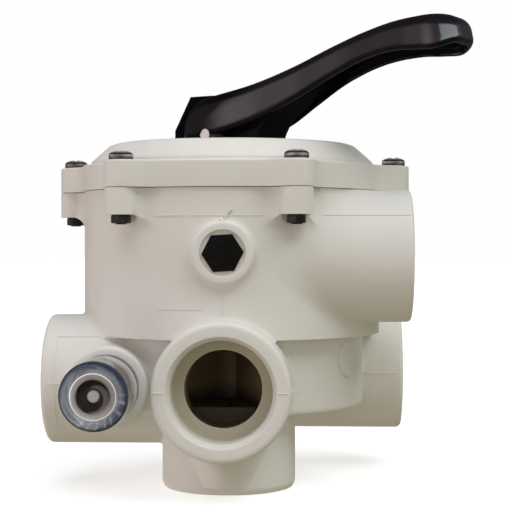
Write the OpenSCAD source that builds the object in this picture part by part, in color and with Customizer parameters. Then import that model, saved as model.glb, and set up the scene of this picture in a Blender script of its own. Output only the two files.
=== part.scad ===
// Six-way multiport valve of a sand filter: a moulded body with five pipe ports, a bolted
// cover, and a press-and-turn lever that lifts a sprung rotor off its gasket and turns it.
// Heights are from the mouth of the bottom port. The rotor's axis lies behind that port.

/* [Body] */
// Outer radius of the upper cup
cup_r = 78; // [74:0.5:82]
// Wall of the upper cup
cup_wall = 6; // [4:0.5:8]
// Height of the cup's lower edge
cup_bottom_z = 76.5; // [75:0.5:79]
// Height of the cup from its lower edge to its rim
cup_h = 73.7; // [72:0.1:80]
// Floor between the cup's lower edge and the gasket's seat
seat_floor = 6; // [4:0.5:8]
// How far the drum under the cup lies inside the cup's outside
drum_step = 9; // [7:0.5:12]
// Wall of the drum
drum_wall = 6; // [4:0.5:8]
// Height of the drum's underside
drum_bottom_z = 38.5; // [36:0.5:40]
// Floor of the drum
drum_floor = 4; // [3:0.5:6]
// Rounding of the drum's and the cup's lower edges
body_edge_r = 3.5; // [1:0.5:5]
// Radius of the hub where the chamber walls meet
hub_r = 16; // [12:0.5:18]
// Thickness of the walls between the chambers
rib_w = 5; // [3:0.5:7]
// Angle of the first chamber wall from the front, toward the right
rib_angle = 20; // [18:1:22]
// Distance from the bottom port's axis back to the rotor's axis
axis_y = 30; // [28:0.5:34]

/* [Ports] */
// Outer radius of the four side ports
port_r = 33; // [31:0.5:34]
// Outer radius of the bottom port
bottom_port_r = 33.5; // [31:0.5:35]
// Radius of the socket for a 1 1/2 inch pipe
socket_r = 24.15; // [23:0.05:25]
// Depth of the socket
socket_depth = 20; // [18:0.5:24]
// Length of the lead-in chamfer at a side port's mouth
lead_in = 2; // [1:0.25:3]
// How much the lead-in widens for its length
lead_slope = 0.85; // [0.5:0.05:1]
// Wall between the end of the upper right socket and the hollow of the cup
socket_shoulder = 1.35; // [1:0.05:3]
// Radius of the waterway behind the socket
waterway_r = 18.75; // [16:0.25:20]
// Height of the axis of the three lower side ports
low_port_z = 53.5; // [52:0.5:55]
// Gap between the top of the upper right port and the cup's rim
high_port_gap = 0.5; // [0.3:0.1:3]
// How far the front port's mouth stands out past the circle round the lugs
front_stand = 3.5; // [0.5:0.5:10.5]
// How far the front port's tube starts inside the chambers' outer wall
front_root_in = 11; // [7:0.5:15]
// How far the left port's mouth lies inside the circle round the lugs
left_inset = 1.2; // [-6.5:0.1:3.5]
// How far the left port's waterway starts inside the chambers' outer wall
left_root_in = 15; // [13:0.5:19]
// How far the left port's tube runs into the side of the bottom port
left_tube_in = 5; // [3:0.5:8]
// Left port's axis in front of the rotor's axis
left_offset = 24; // [22:0.5:26]
// How far the lower right port's mouth lies inside the circle round the lugs
right_inset = 1.9; // [-6.5:0.1:3.5]
// How far the lower right port's tube starts inside the chambers' outer wall
right_root_in = 30; // [27:0.5:33]
// Lower right port's axis behind the rotor's axis
right_offset = 42.5; // [40:0.5:44]
// How far the upper right port's mouth lies inside the circle round the lugs
high_inset = 1.7; // [-6.5:0.1:3.5]
// How far the upper right port's tube starts inside the chambers' outer wall
high_root_in = 42; // [39:0.5:45]
// Upper right port's axis in front of the rotor's axis
high_offset = 39; // [37:0.5:41]
// Rounding of the outer edge of the lower ports' mouths
port_edge_r = 4.5; // [1:0.5:6]
// Rounding of the outer edge of the upper right port's mouth
high_edge_r = 2; // [1:0.5:4]
// Rounding of the outer edge of the bottom port's mouth
bottom_edge_r = 1.5; // [0.5:0.5:3]
// Inner end of a port's tube to the inner end of its waterway
way_step = 6; // [5:0.25:7]
// Wall of the bottom port round its opening into the drum
transfer_wall = 6.5; // [5:0.25:8]
// Step from the end of the bottom socket up to that opening
transfer_step = 1.5; // [1:0.25:3]
// Angle between that opening and the chamber walls beside it
transfer_margin = 6; // [5:0.5:8]
// Distance of the two windows between chambers from the edges of their walls
link_margin = 8; // [7:0.5:9]

/* [Cover and screws] */
// How far the cover's flange stands out past the cup
flange_lip = 1.5; // [0.5:0.5:3]
// Thickness of the cover's flange
flange_h = 13.3; // [10:0.1:16]
// Rounding of the flange's upper edge
flange_edge_r = 2; // [0.5:0.5:3]
// Height of the cover's crown above the flange
crown_h = 11; // [9:0.5:14]
// How far the crown's foot lies inside the cup's outside
crown_inset = 3.4; // [2:0.1:5]
// How far the crown's slope runs inward
crown_slope = 10; // [7:0.5:12]
// Thickness of the cover's crown
cover_wall = 6.5; // [5.5:0.25:8]
// Width of the cove at the crown's foot
cove_w = 1.5; // [1:0.25:2]
// Height of that cove
cove_h = 2.5; // [1.5:0.25:4]
// How far the flange's underside reaches in past the cup's wall
flange_ledge = 4; // [2:0.5:6]
// Depth of the flange's thicker shoulder below its top, on the inside
shoulder_drop = 3; // [2:0.25:4]
// Distance of the screws outside the cup
screw_offset = 7.5; // [6.5:0.5:9]
// Angle of the first screw from the front, toward the right
screw_angle = 24.2; // [23:0.1:26]
// Number of screws
screw_count = 6; // [6:1:6]
// Radius of a screw's shank, M6
screw_r = 3; // [2.5:0.5:3.5]
// Radius of a screw's pan head
screw_head_r = 6; // [5:0.25:7]
// Height of a screw's pan head
screw_head_h = 4.6; // [3:0.1:6]
// Radius of the lugs
lug_r = 8; // [7:0.25:9]
// Height of the body's lugs
lug_h = 13.2; // [10:0.1:16]
// Width of a lug's web, as a multiple of the lug's radius
web_ratio = 1.88; // [1.6:0.02:1.96]
// Width of a nut across its flats
nut_af = 10; // [9:0.5:11]
// Height of a nut
nut_h = 5; // [4:0.25:6]
// Thread that shows below a nut
screw_tail = 2; // [0.5:0.5:3]

/* [Gauge port and sight glass] */
// Height of the gauge boss's axis
gauge_z = 118.5; // [112:0.5:122]
// Radius of the gauge boss
gauge_boss_r = 15.2; // [14:0.1:17]
// How far the gauge boss stands out of the cup
gauge_boss_h = 5; // [3:0.5:8]
// Radius of the gauge boss's counterbore
gauge_bore_r = 11; // [10.6:0.1:12]
// Width of the gauge plug across its flats
plug_af = 17.5; // [15:0.5:18]
// Length of the gauge plug's hexagon
plug_head_h = 6; // [4:0.5:7]
// Radius of the gauge plug's shank
plug_shank_r = 6.5; // [5:0.25:7.5]
// Left port's mouth to the sight glass's axis
sight_inset = 34.8; // [33.8:0.1:35.3]
// Height of the sight glass's axis
sight_z = 53; // [52:0.5:55]
// Radius of the sight glass's boss
sight_boss_r = 20; // [18.5:0.25:22]
// How far the face of the sight glass's boss lies inside the drum's front
sight_boss_in = 1; // [-1:0.5:3]
// Outer radius of the sight glass
glass_r = 16.3; // [16.2:0.1:18]
// Inner radius of the sight glass
glass_bore_r = 11; // [9:0.25:11.5]
// Length of the sight glass outside its boss
glass_len = 42; // [36:0.5:46]
// Thickness of the sight glass's closed end
glass_end = 6; // [5:0.5:8]
// Radius of the round recess in the sight glass's end
glass_recess_r = 7.5; // [6:0.25:9]
// Depth of that recess
glass_recess_h = 3; // [1:0.25:3.5]
// Radius of the pip in the recess
glass_pip_r = 2.6; // [1.5:0.1:4]
// How far the pip's end lies behind the sight glass's end
pip_drop = 1; // [0.25:0.25:2]
// Rounding of the sight glass's rim
glass_edge_r = 3; // [1:0.25:4]
// Radius of the sight glass's spigot in the boss
spigot_r = 13.9; // [13:0.1:14.5]
// Length of that spigot
spigot_len = 9.5; // [7:0.5:10]
// Radius of the passage from the sight glass to the waste port
passage_r = 8.5; // [6:0.25:8.5]

/* [Rotor and spring] */
// Thickness of the spider gasket
gasket_t = 3; // [2:0.25:4]
// Width of the gasket's outer ring
gasket_ring = 8; // [6:0.5:9]
// Width of the gasket's spokes
gasket_spoke = 7; // [5:0.5:9]
// How far the gasket's hub reaches past the hub of the chamber walls
gasket_hub = 2; // [1:0.5:3]
// Gap between the gasket and the cup's wall
gasket_gap = 3; // [1.5:0.5:4]
// Gap between the rotor's disc and the cup's wall
rotor_gap = 6; // [4:0.5:7]
// Thickness of the rotor's disc
disc_t = 6; // [4:0.5:8]
// Height of the pocket's dome above the disc
dome_h = 16; // [10:0.5:22]
// Wall of the pocket's dome
dome_wall = 4; // [3:0.25:5]
// Width of the disc's rim outside the dome
dome_inset = 6; // [4:0.5:8]
// Gap between the dome and the spring's washer
dome_gap = 1.5; // [1:0.25:3]
// Wall at each end of the dome, as an angle
dome_end = 5; // [4:0.5:7]
// Angle that the pocket spans, so that it joins two chambers
pocket_angle = 100; // [90:1:105]
// Angle that the rotor's window spans
window_angle = 44; // [36:1:48]
// Radius of the stem
stem_r = 14; // [13:0.25:15]
// Wire radius of the spring
wire_r = 1.8; // [1.2:0.1:2]
// Number of turns of the spring
spring_turns = 7; // [5:1:8]
// Thickness of the spring's washers
washer_t = 1.5; // [1:0.25:2]
// Gap between the stem's guide and the spring
spring_gap = 2.6; // [1.5:0.1:3]
// Gap between the stem's guide and the washers
washer_gap = 0.5; // [0.3:0.1:1]
// How far the washers reach out past the spring
washer_lip = 1.5; // [1:0.25:2]
// Wall of the stem's guide in the cover
guide_wall = 6; // [4:0.5:6.5]
// Length of the stem's guide below the crown
guide_len = 14.5; // [10:0.5:18]

/* [Handle] */
// Angle of the lever from the front, toward the right
handle_angle = 60; // [0:60:300]
// Height of the pin above the handle's base
pin_rise = 5.3; // [5:0.1:6]
// Radius of the cross pin
pin_r = 2.85; // [2.5:0.05:3]
// Distance from the pin to the heel that the lever rocks on
heel_reach = 20; // [18:0.5:22]
// Lever's travel, in degrees
tilt = 20; // [12:1:20]
// Length of the lever from the pin to its tip
lever_reach = 133; // [120:1:140]
// Height of the lever's top at its tip, above the pin
lever_rise = 52.3; // [48:0.1:58]
// Height of the lever's top over the pin
hub_top = 20.3; // [19:0.1:22]
// Depth of the lever at its tip
tip_depth = 13; // [11:0.5:16]
// Half the width of the lever at the pin
hub_half_w = 26.3; // [25:0.1:28]
// Half the width of the lever at its waist, half way out
waist_half_w = 13.2; // [12:0.1:16]
// Half the width of the lever's grip, at its tip
tip_half_w = 18.2; // [16:0.1:20]
// Wall of the lever's flanks
flank_wall = 4; // [3:0.25:5]
// Wall of the lever's top
top_wall = 4.5; // [3:0.25:6]
// Half the width of the handle's centre block
block_half_w = 13.5; // [13:0.25:15]
// How far the pointer reaches behind the pin
pointer_reach = 28; // [24:0.5:29]
// Half the length of the stem's tongue, and the rounding of its top
tongue_r = 9; // [8:0.25:9.5]
// Thickness of the thrust ring under the handle
thrust_t = 1.6; // [1:0.1:2]
// Depth of the recess that holds the thrust ring
recess_h = 2; // [1.8:0.1:2.5]
// How far the thrust ring reaches past the pointer's corners
thrust_margin = 0.4; // [0.3:0.1:2]
// Thickness of the position label
label_t = 0.3; // [0.2:0.05:0.4]
// Width of the position label's ring
label_w = 22; // [14:1:24]
// Distance of the position label from the crown's edge
label_margin = 2; // [1:0.25:3]
// Width of the label's ticks
tick_w = 1.6; // [1:0.1:3]

/* [Fits and seals] */
// Radial clearance of turning fits
running_gap = 0.05; // [0.02:0.01:0.1]
// Clearance between the handle's base and the thrust ring
base_gap = 0.1; // [0.05:0.05:0.3]
// Radial clearance of the screws in their holes
screw_gap = 0.3; // [0.1:0.05:0.5]
// Clearance of parts that are only laid in place
loose_gap = 0.3; // [0.1:0.05:0.5]
// Clearance between the handle and the stem's tongue as the lever swings
swing_gap = 0.7; // [0.5:0.05:1]
// Clearance between the tongue's flat sides and the handle
side_gap = 0.2; // [0.1:0.05:0.3]
// Radial clearance of the pin in the tongue
pin_fit = 0.01; // [0.01:0.01:0.05]
// Section radius of the stem's O-rings
stem_seal_r = 1.5; // [1:0.1:1.8]
// Section radius of the cover's O-ring
cover_seal_r = 1.1; // [0.8:0.1:1.5]
// Section radius of the sight glass's and the plug's O-rings
small_seal_r = 1; // [0.8:0.05:1.1]

/* [Hidden] */
$fn = 96;
abs_white = "#e6e5df";
black = "#26232a";
steel = "#85878a";
rubber = "#1d1d1f";
// Overrun of a cut past the face that it leaves
cut = 1;

// Heights of the body, from its lower edge upward
rim_z = cup_bottom_z + cup_h;
seat_z = cup_bottom_z + seat_floor;
chamber_z = drum_bottom_z + drum_floor;
lug_z = rim_z - lug_h;
flange_z = rim_z + flange_h;
crown_z = flange_z + crown_h;
crown_under_z = crown_z - cover_wall;
guide_z = crown_under_z - guide_len;
thrust_z = crown_z - recess_h;
high_port_z = rim_z - high_port_gap - port_r;

// Radii round the rotor's axis
cup_in_r = cup_r - cup_wall;
drum_r = cup_r - drum_step;
chamber_r = drum_r - drum_wall;
flange_r = cup_r + flange_lip;
crown_foot_r = cup_r - crown_inset;
crown_r = crown_foot_r - crown_slope;
screw_circle_r = cup_r + screw_offset;
bore_r = stem_r + running_gap;
guide_r = bore_r + guide_wall;
gasket_r = cup_in_r - gasket_gap;
rotor_r = cup_in_r - rotor_gap;
screw_hole_r = screw_r + screw_gap;
nut_r = nut_af / 2 / cos(30);
lug_reach = screw_circle_r + lug_r;

// Ports, from the rotor's axis to each tube's inner end and mouth
front_root = chamber_r - front_root_in;
left_root = chamber_r - left_root_in;
right_root = chamber_r - right_root_in;
high_root = chamber_r - high_root_in;
front_reach = lug_reach + front_stand;
left_reach = lug_reach - left_inset;
right_reach = lug_reach - right_inset;
high_reach = lug_reach - high_inset;

// Chambers and waterways
chamber_count = 6;
chamber_step = 360 / chamber_count;
transfer_r = bottom_port_r - transfer_wall;
link_z = [chamber_z + link_margin, seat_z - link_margin];
link_r = [hub_r + link_margin, chamber_r - link_margin];
// The upper right socket stops short of the cup's hollow, so that its wall is whole
cup_wall_reach = sqrt(pow(cup_in_r, 2) - pow(high_offset - socket_r, 2));
high_socket_depth = high_reach - cup_wall_reach - socket_shoulder;

// Rotor and spring stack
disc_z = seat_z + gasket_t;
disc_top_z = disc_z + disc_t;
spring_r = guide_r + spring_gap + wire_r;
washer_in_r = guide_r + washer_gap;
washer_out_r = spring_r + wire_r + washer_lip;
spring_low_z = disc_top_z + washer_t;
spring_high_z = crown_under_z - washer_t;
dome_in_r = washer_out_r + dome_gap;
dome_out_r = rotor_r - dome_inset;

// Handle, about its pin
base_z = thrust_z + thrust_t + base_gap;
pin_z = base_z + pin_rise;
lift = heel_reach * tilt * PI / 180;
thrust_r = norm([pointer_reach, block_half_w]) + thrust_margin;
// The stem's shoulder stays below the handle's base, and the pocket clear of the tongue, at full tilt
stem_top_z = pin_z - pin_rise / cos(tilt) - stem_r * tan(tilt) - swing_gap;
tongue_half_w = sqrt(pow(stem_r, 2) - pow(tongue_r, 2)) - swing_gap;
pocket_half_l = tongue_r / cos(tilt) + pin_rise * tan(tilt) + swing_gap;
pocket_half_w = tongue_half_w + side_gap;
pocket_top = tongue_r + swing_gap;
// Grooves of the two O-rings, counted in radii of their section from the guide's lower end
seal_start = 2.5;
seal_pitch = 4;
stem_seal_z = [for (i = [0, 1]) guide_z + (seal_start + i * seal_pitch) * stem_seal_r];

// Gauge port and sight glass
sight_x = left_reach - sight_inset;
sight_boss_reach = drum_r - sight_boss_in;
gauge_face = cup_r + gauge_boss_h;
gauge_floor = gauge_face - plug_head_h - 2 * small_seal_r;
groove_r = spigot_r + loose_gap + 2 * small_seal_r;

// A point of a cubic Bezier curve, and the curve in n steps
function bezier_at(p, t) = pow(1 - t, 3) * p[0] + 3 * t * pow(1 - t, 2) * p[1]
    + 3 * t * t * (1 - t) * p[2] + pow(t, 3) * p[3];
function bezier(p, n) = [for (i = [0:n]) bezier_at(p, i / n)];

// Points on an arc of radius r about c
function arc(c, r, from, to, n) = [for (i = [0:n]) let (a = from + (to - from) * i / n)
    c + r * [cos(a), sin(a)]];

// Moves children to the rotor's axis, with the front toward -Y
module on_axis() {
    translate([0, axis_y, 0]) children();
}

// Turns children from +X to the angle from the front, toward the right
module facing(angle) {
    rotate([0, 0, angle - 90]) children();
}

// Repeats children at each screw
module at_screws() {
    for (i = [0:screw_count - 1])
        facing(screw_angle + i * 360 / screw_count) translate([screw_circle_r, 0, 0]) children();
}

// Each side places a port's axis along local +Z, from the rotor's axis outward
module at_front() {
    translate([0, 0, low_port_z]) rotate([90, 0, 0]) children();
}
module at_left() {
    translate([0, -left_offset, low_port_z]) rotate([0, -90, 0]) children();
}
module at_right() {
    translate([0, right_offset, low_port_z]) rotate([0, 90, 0]) children();
}
module at_high() {
    translate([0, -high_offset, high_port_z]) rotate([0, 90, 0]) children();
}
module at_bottom() {
    translate([0, -axis_y, 0]) children();
}
module at_gauge() {
    translate([0, 0, gauge_z]) rotate([90, 0, 0]) children();
}
module at_sight() {
    translate([-sight_x, 0, sight_z]) rotate([90, 0, 0]) children();
}

// Tube of a port from its root to its mouth, with a rounded outer edge
module port_tube(root, reach, r, edge) {
    rotate_extrude() polygon(concat([[0, root], [r, root]],
        arc([r - edge, reach - edge], edge, 0, 90, 5), [[0, reach]]));
}

// Socket, lead-in and waterway of a port whose tube starts at root
module port_bore(root, reach, depth) {
    way = root + way_step;
    translate([0, 0, reach - depth]) cylinder(h = depth + cut, r = socket_r);
    translate([0, 0, reach - lead_in])
        cylinder(h = lead_in, r1 = socket_r, r2 = socket_r + lead_slope * lead_in);
    translate([0, 0, way]) cylinder(h = reach - depth - way + cut, r = waterway_r);
}

// Six walls between the chambers, from the axis outward
module chamber_walls(r, w, z, h) {
    for (i = [0:chamber_count - 1])
        facing(rib_angle + i * chamber_step) translate([0, -w / 2, z]) cube([r, w, h]);
}

// Wedge from the axis between two angles from the front
module wedge(from, to, r, z, h) {
    mid = (from + to) / 2;
    far = r / cos((to - from) / 4);
    points = [for (a = [from, mid, to]) far * [sin(a), -cos(a)]];
    translate([0, 0, z]) linear_extrude(h) polygon(concat([[0, 0]], points));
}

module body_outside() {
    rotate_extrude()
        polygon(concat([[0, drum_bottom_z]],
            arc([drum_r - body_edge_r, drum_bottom_z + body_edge_r], body_edge_r, -90, 0, 5),
            [[drum_r, cup_bottom_z]],
            arc([cup_r - body_edge_r, cup_bottom_z + body_edge_r], body_edge_r, -90, 0, 5),
            [[cup_r, rim_z], [0, rim_z]]));
    at_front() port_tube(front_root, front_reach, port_r, port_edge_r);
    at_left() port_tube(bottom_port_r - left_tube_in, left_reach, port_r, port_edge_r);
    at_right() port_tube(right_root, right_reach, port_r, port_edge_r);
    at_high() port_tube(high_root, high_reach, port_r, high_edge_r);
    bottom_root = drum_bottom_z + drum_floor / 2;
    at_bottom() translate([0, 0, bottom_root]) mirror([0, 0, 1])
        port_tube(0, bottom_root, bottom_port_r, bottom_edge_r);
    at_gauge() cylinder(h = gauge_face, r = gauge_boss_r);
    sight_root = left_offset + waterway_r;
    at_sight() translate([0, 0, sight_root])
        cylinder(h = sight_boss_reach - sight_root, r = sight_boss_r);
    at_screws() translate([0, 0, lug_z]) lug(lug_h);
}

// Lug round a screw, with the web that joins it to the wall behind
module lug(h) {
    web_w = web_ratio * lug_r;
    web_l = screw_offset + cup_wall / 2;
    cylinder(h = h, r = lug_r);
    translate([-web_l, -web_w / 2, 0]) cube([web_l, web_w, h]);
}

// Chambers under the gasket, the floor opening over the bottom port, and links in two walls
module body_chambers() {
    difference() {
        translate([0, 0, chamber_z]) cylinder(h = seat_z - chamber_z + cut, r = chamber_r);
        translate([0, 0, chamber_z - cut]) cylinder(h = seat_z - chamber_z + cut, r = hub_r);
        chamber_walls(drum_r, rib_w, chamber_z - cut, seat_z - chamber_z + cut);
    }
    intersection() {
        at_bottom() translate([0, 0, socket_depth + transfer_step])
            cylinder(h = chamber_z - socket_depth, r = transfer_r);
        wedge(rib_angle + transfer_margin, rib_angle + chamber_step - transfer_margin,
            chamber_r, socket_depth, chamber_z);
    }
    for (i = [2, 4])
        facing(rib_angle + i * chamber_step) translate([link_r[0], -rib_w, link_z[0]])
            cube([link_r[1] - link_r[0], 2 * rib_w, link_z[1] - link_z[0]]);
}

module body_bores() {
    at_front() port_bore(front_root, front_reach, socket_depth);
    at_left() port_bore(left_root, left_reach, socket_depth);
    at_right() port_bore(right_root, right_reach, socket_depth);
    at_high() port_bore(high_root, high_reach, high_socket_depth);
    at_bottom() translate([0, 0, -cut]) cylinder(h = socket_depth + cut, r = socket_r);
    at_bottom() cylinder(h = drum_bottom_z, r = waterway_r);
    at_gauge() translate([0, 0, gauge_floor]) cylinder(h = gauge_face, r = gauge_bore_r);
    at_gauge() cylinder(h = gauge_face, r = plug_shank_r + loose_gap);
    at_sight() translate([0, 0, left_offset]) cylinder(h = sight_boss_reach, r = passage_r);
    at_sight() translate([0, 0, sight_boss_reach - spigot_len - loose_gap])
        cylinder(h = glass_len, r = spigot_r + loose_gap);
    at_sight() translate([0, 0, sight_boss_reach - 2 * small_seal_r])
        cylinder(h = glass_len, r = groove_r);
    at_screws() translate([0, 0, lug_z - cut]) cylinder(h = lug_h + 2 * cut, r = screw_hole_r);
    at_screws() translate([0, 0, lug_z - nut_h - 2 * screw_tail])
        cylinder(h = nut_h + 2 * screw_tail, r = nut_r + 4 * loose_gap);
}

// Groove of the cover's O-ring, in the middle of the cup's rim
module rim_groove() {
    mid_r = cup_r - cup_wall / 2;
    half_w = cover_seal_r + loose_gap / 2;
    depth = 2 * cover_seal_r;
    translate([0, 0, rim_z - depth]) difference() {
        cylinder(h = depth + cut, r = mid_r + half_w);
        translate([0, 0, -cut]) cylinder(h = depth + 3 * cut, r = mid_r - half_w);
    }
}

// Body: the moulding that carries everything else
module valve_body() {
    color(abs_white) on_axis() difference() {
        body_outside();
        translate([0, 0, seat_z]) cylinder(h = rim_z - seat_z + cut, r = cup_in_r);
        body_chambers();
        body_bores();
        rim_groove();
    }
}

// Cover: flange, sloped crown, stem guide and the recess under the handle
module cover() {
    ledge_r = cup_in_r - flange_ledge;
    recess_r = thrust_r + loose_gap;
    color(abs_white) on_axis() difference() {
        union() {
            rotate_extrude() polygon(concat(
                [[bore_r, guide_z], [guide_r, guide_z], [guide_r, crown_under_z],
                [crown_r - cover_wall / 2, crown_under_z], [ledge_r, flange_z - shoulder_drop],
                [ledge_r, rim_z], [flange_r, rim_z]],
                arc([flange_r - flange_edge_r, flange_z - flange_edge_r], flange_edge_r, 0, 90, 4),
                [[crown_foot_r + cove_w, flange_z], [crown_foot_r, flange_z + cove_h], [crown_r, crown_z],
                [recess_r, crown_z], [recess_r, thrust_z], [bore_r, thrust_z]]));
            at_screws() translate([0, 0, rim_z]) lug(flange_h);
        }
        at_screws() translate([0, 0, rim_z - cut]) cylinder(h = flange_h + 2 * cut, r = screw_hole_r);
    }
}

// Ring of round section about the rotor's axis
module seal(r, section_r, z) {
    translate([0, 0, z]) rotate_extrude() translate([r, 0]) circle(section_r);
}

module cover_o_ring() {
    color(rubber) on_axis() seal(cup_r - cup_wall / 2, cover_seal_r, rim_z - cover_seal_r);
}

// Pan-head screw with a cross recess, its head on the cover's lug
module cover_screws() {
    slot_w = screw_r / 2;
    slot_h = screw_head_h / 2;
    tail_z = lug_z - nut_h - screw_tail;
    dome_r = screw_head_h / 2;
    color(steel) on_axis() at_screws() difference() {
        rotate_extrude() polygon(concat([[0, tail_z], [screw_r, tail_z], [screw_r, flange_z],
            [screw_head_r, flange_z]],
            arc([screw_head_r - dome_r, flange_z + screw_head_h - dome_r], dome_r, 0, 90, 5),
            [[0, flange_z + screw_head_h]]));
        for (turn = [0, 90])
            rotate([0, 0, turn]) translate([-screw_r, -slot_w / 2, flange_z + screw_head_h - slot_h])
                cube([2 * screw_r, slot_w, slot_h + cut]);
    }
}

module cover_nuts() {
    color(steel) on_axis() at_screws() translate([0, 0, lug_z - nut_h]) difference() {
        cylinder(h = nut_h, r = nut_r, $fn = 6);
        translate([0, 0, -cut]) cylinder(h = nut_h + 2 * cut, r = screw_r + running_gap);
    }
}

// Spider gasket: ring, hub and spokes on the tops of the chamber walls
module spider_gasket() {
    color(rubber) on_axis() difference() {
        translate([0, 0, seat_z]) cylinder(h = gasket_t, r = gasket_r);
        difference() {
            translate([0, 0, seat_z - cut]) cylinder(h = gasket_t + 2 * cut, r = gasket_r - gasket_ring);
            translate([0, 0, seat_z - 2 * cut]) cylinder(h = gasket_t + 4 * cut, r = hub_r + gasket_hub);
            chamber_walls(gasket_r, gasket_spoke, seat_z - 2 * cut, gasket_t + 4 * cut);
        }
    }
}

// Ring of radii r0 to r1 cut to a wedge
module ring_sector(from, to, r0, r1, z, h) {
    intersection() {
        difference() {
            translate([0, 0, z]) cylinder(h = h, r = r1);
            translate([0, 0, z - cut]) cylinder(h = h + 2 * cut, r = r0);
        }
        wedge(from, to, r1 + cut, z - cut, h + 2 * cut);
    }
}

// Rotor: disc with a window down to one chamber, a domed pocket that joins two others, and the stem
module rotor() {
    window_mid = rib_angle + chamber_step / 2;
    pocket_mid = window_mid + 2.5 * chamber_step;
    half = pocket_angle / 2;
    dome_half = half + dome_end;
    color("#d9d6cd") on_axis() {
        difference() {
            union() {
                translate([0, 0, disc_z]) cylinder(h = disc_t, r = rotor_r);
                ring_sector(pocket_mid - dome_half, pocket_mid + dome_half, dome_in_r, dome_out_r,
                    disc_top_z - cut, dome_h + cut);
                translate([0, 0, disc_z]) cylinder(h = stem_top_z - disc_z, r = stem_r);
                tongue();
            }
            ring_sector(pocket_mid - half, pocket_mid + half, dome_in_r + dome_wall, dome_out_r - dome_wall,
                disc_z - cut, disc_t + dome_h - dome_wall + cut);
            ring_sector(window_mid - window_angle / 2, window_mid + window_angle / 2, dome_in_r, dome_out_r,
                disc_z - cut, disc_t + 2 * cut);
            for (z = stem_seal_z)
                translate([0, 0, z - stem_seal_r - running_gap]) stem_groove();
        }
    }
}

// Groove round the stem for one O-ring
module stem_groove() {
    groove_h = 2 * (stem_seal_r + running_gap);
    floor_r = stem_r - 2 * stem_seal_r - running_gap;
    difference() {
        cylinder(h = groove_h, r = stem_r + cut);
        translate([0, 0, -cut]) cylinder(h = groove_h + 2 * cut, r = floor_r);
    }
}

// Moves children to the pin, with local X along the lever
module at_pin() {
    translate([0, 0, pin_z]) facing(handle_angle) children();
}

// Flat tongue on the stem, round about the pin, with the pin's hole
module tongue() {
    drop = pin_z - stem_top_z + cut;
    half_l = tongue_r - side_gap;
    at_pin() rotate([90, 0, 0]) translate([0, 0, -tongue_half_w]) difference() {
        union() {
            cylinder(h = 2 * tongue_half_w, r = tongue_r);
            translate([-half_l, -drop, 0]) cube([2 * half_l, drop, 2 * tongue_half_w]);
        }
        translate([0, 0, -cut]) cylinder(h = 2 * tongue_half_w + 2 * cut, r = pin_r + pin_fit);
    }
}

module stem_o_ring_lower() {
    color(rubber) on_axis() seal(stem_r - stem_seal_r, stem_seal_r, stem_seal_z[0]);
}

module stem_o_ring_upper() {
    color(rubber) on_axis() seal(stem_r - stem_seal_r, stem_seal_r, stem_seal_z[1]);
}

// Spring: one unbroken helix of wire, swept as a tube
spring_rings = 8;
spring_sides = 6;
spring_n = spring_turns * spring_rings;
spring_from = spring_low_z + wire_r;
spring_to = spring_high_z - wire_r;
function spring_point(i, side) = let (a = 360 * i / spring_rings, b = 360 * side / spring_sides,
    r = spring_r + wire_r * cos(b))
    [r * cos(a), r * sin(a), spring_from + (spring_to - spring_from) * i / spring_n + wire_r * sin(b)];
spring_points = [for (i = [0:spring_n], side = [0:spring_sides - 1]) spring_point(i, side)];
function ring_at(i, side) = i * spring_sides + side % spring_sides;
spring_skin = [for (i = [0:spring_n - 1], s = [0:spring_sides - 1], half = [0, 1])
    half == 0 ? [ring_at(i, s), ring_at(i, s + 1), ring_at(i + 1, s + 1)]
    : [ring_at(i, s), ring_at(i + 1, s + 1), ring_at(i + 1, s)]];
spring_ends = [for (s = [1:spring_sides - 2], end = [0, 1])
    end == 0 ? [0, s + 1, s]
    : [ring_at(spring_n, 0), ring_at(spring_n, s), ring_at(spring_n, s + 1)]];
turn_gap = min([for (i = [0:spring_n - spring_rings], s = [0:spring_sides - 1], t = [0:spring_sides - 1])
    norm(spring_point(i, s) - spring_point(i + spring_rings, t))]);
echo(least_gap_between_spring_turns = turn_gap, rotor_lift = lift);

module spring() {
    color(steel) on_axis() polyhedron(spring_points, concat(spring_skin, spring_ends));
}

module washer(z, h, r0, r1) {
    translate([0, 0, z]) difference() {
        cylinder(h = h, r = r1);
        translate([0, 0, -cut]) cylinder(h = h + 2 * cut, r = r0);
    }
}

module spring_washer_lower() {
    color("#cfcfc9") on_axis() washer(disc_top_z, washer_t, washer_in_r, washer_out_r);
}

module spring_washer_upper() {
    color("#cfcfc9") on_axis() washer(spring_high_z, washer_t, washer_in_r, washer_out_r);
}

module handle_thrust_ring() {
    color("#b9b9b4") on_axis() washer(thrust_z, thrust_t, bore_r + loose_gap, thrust_r);
}

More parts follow.
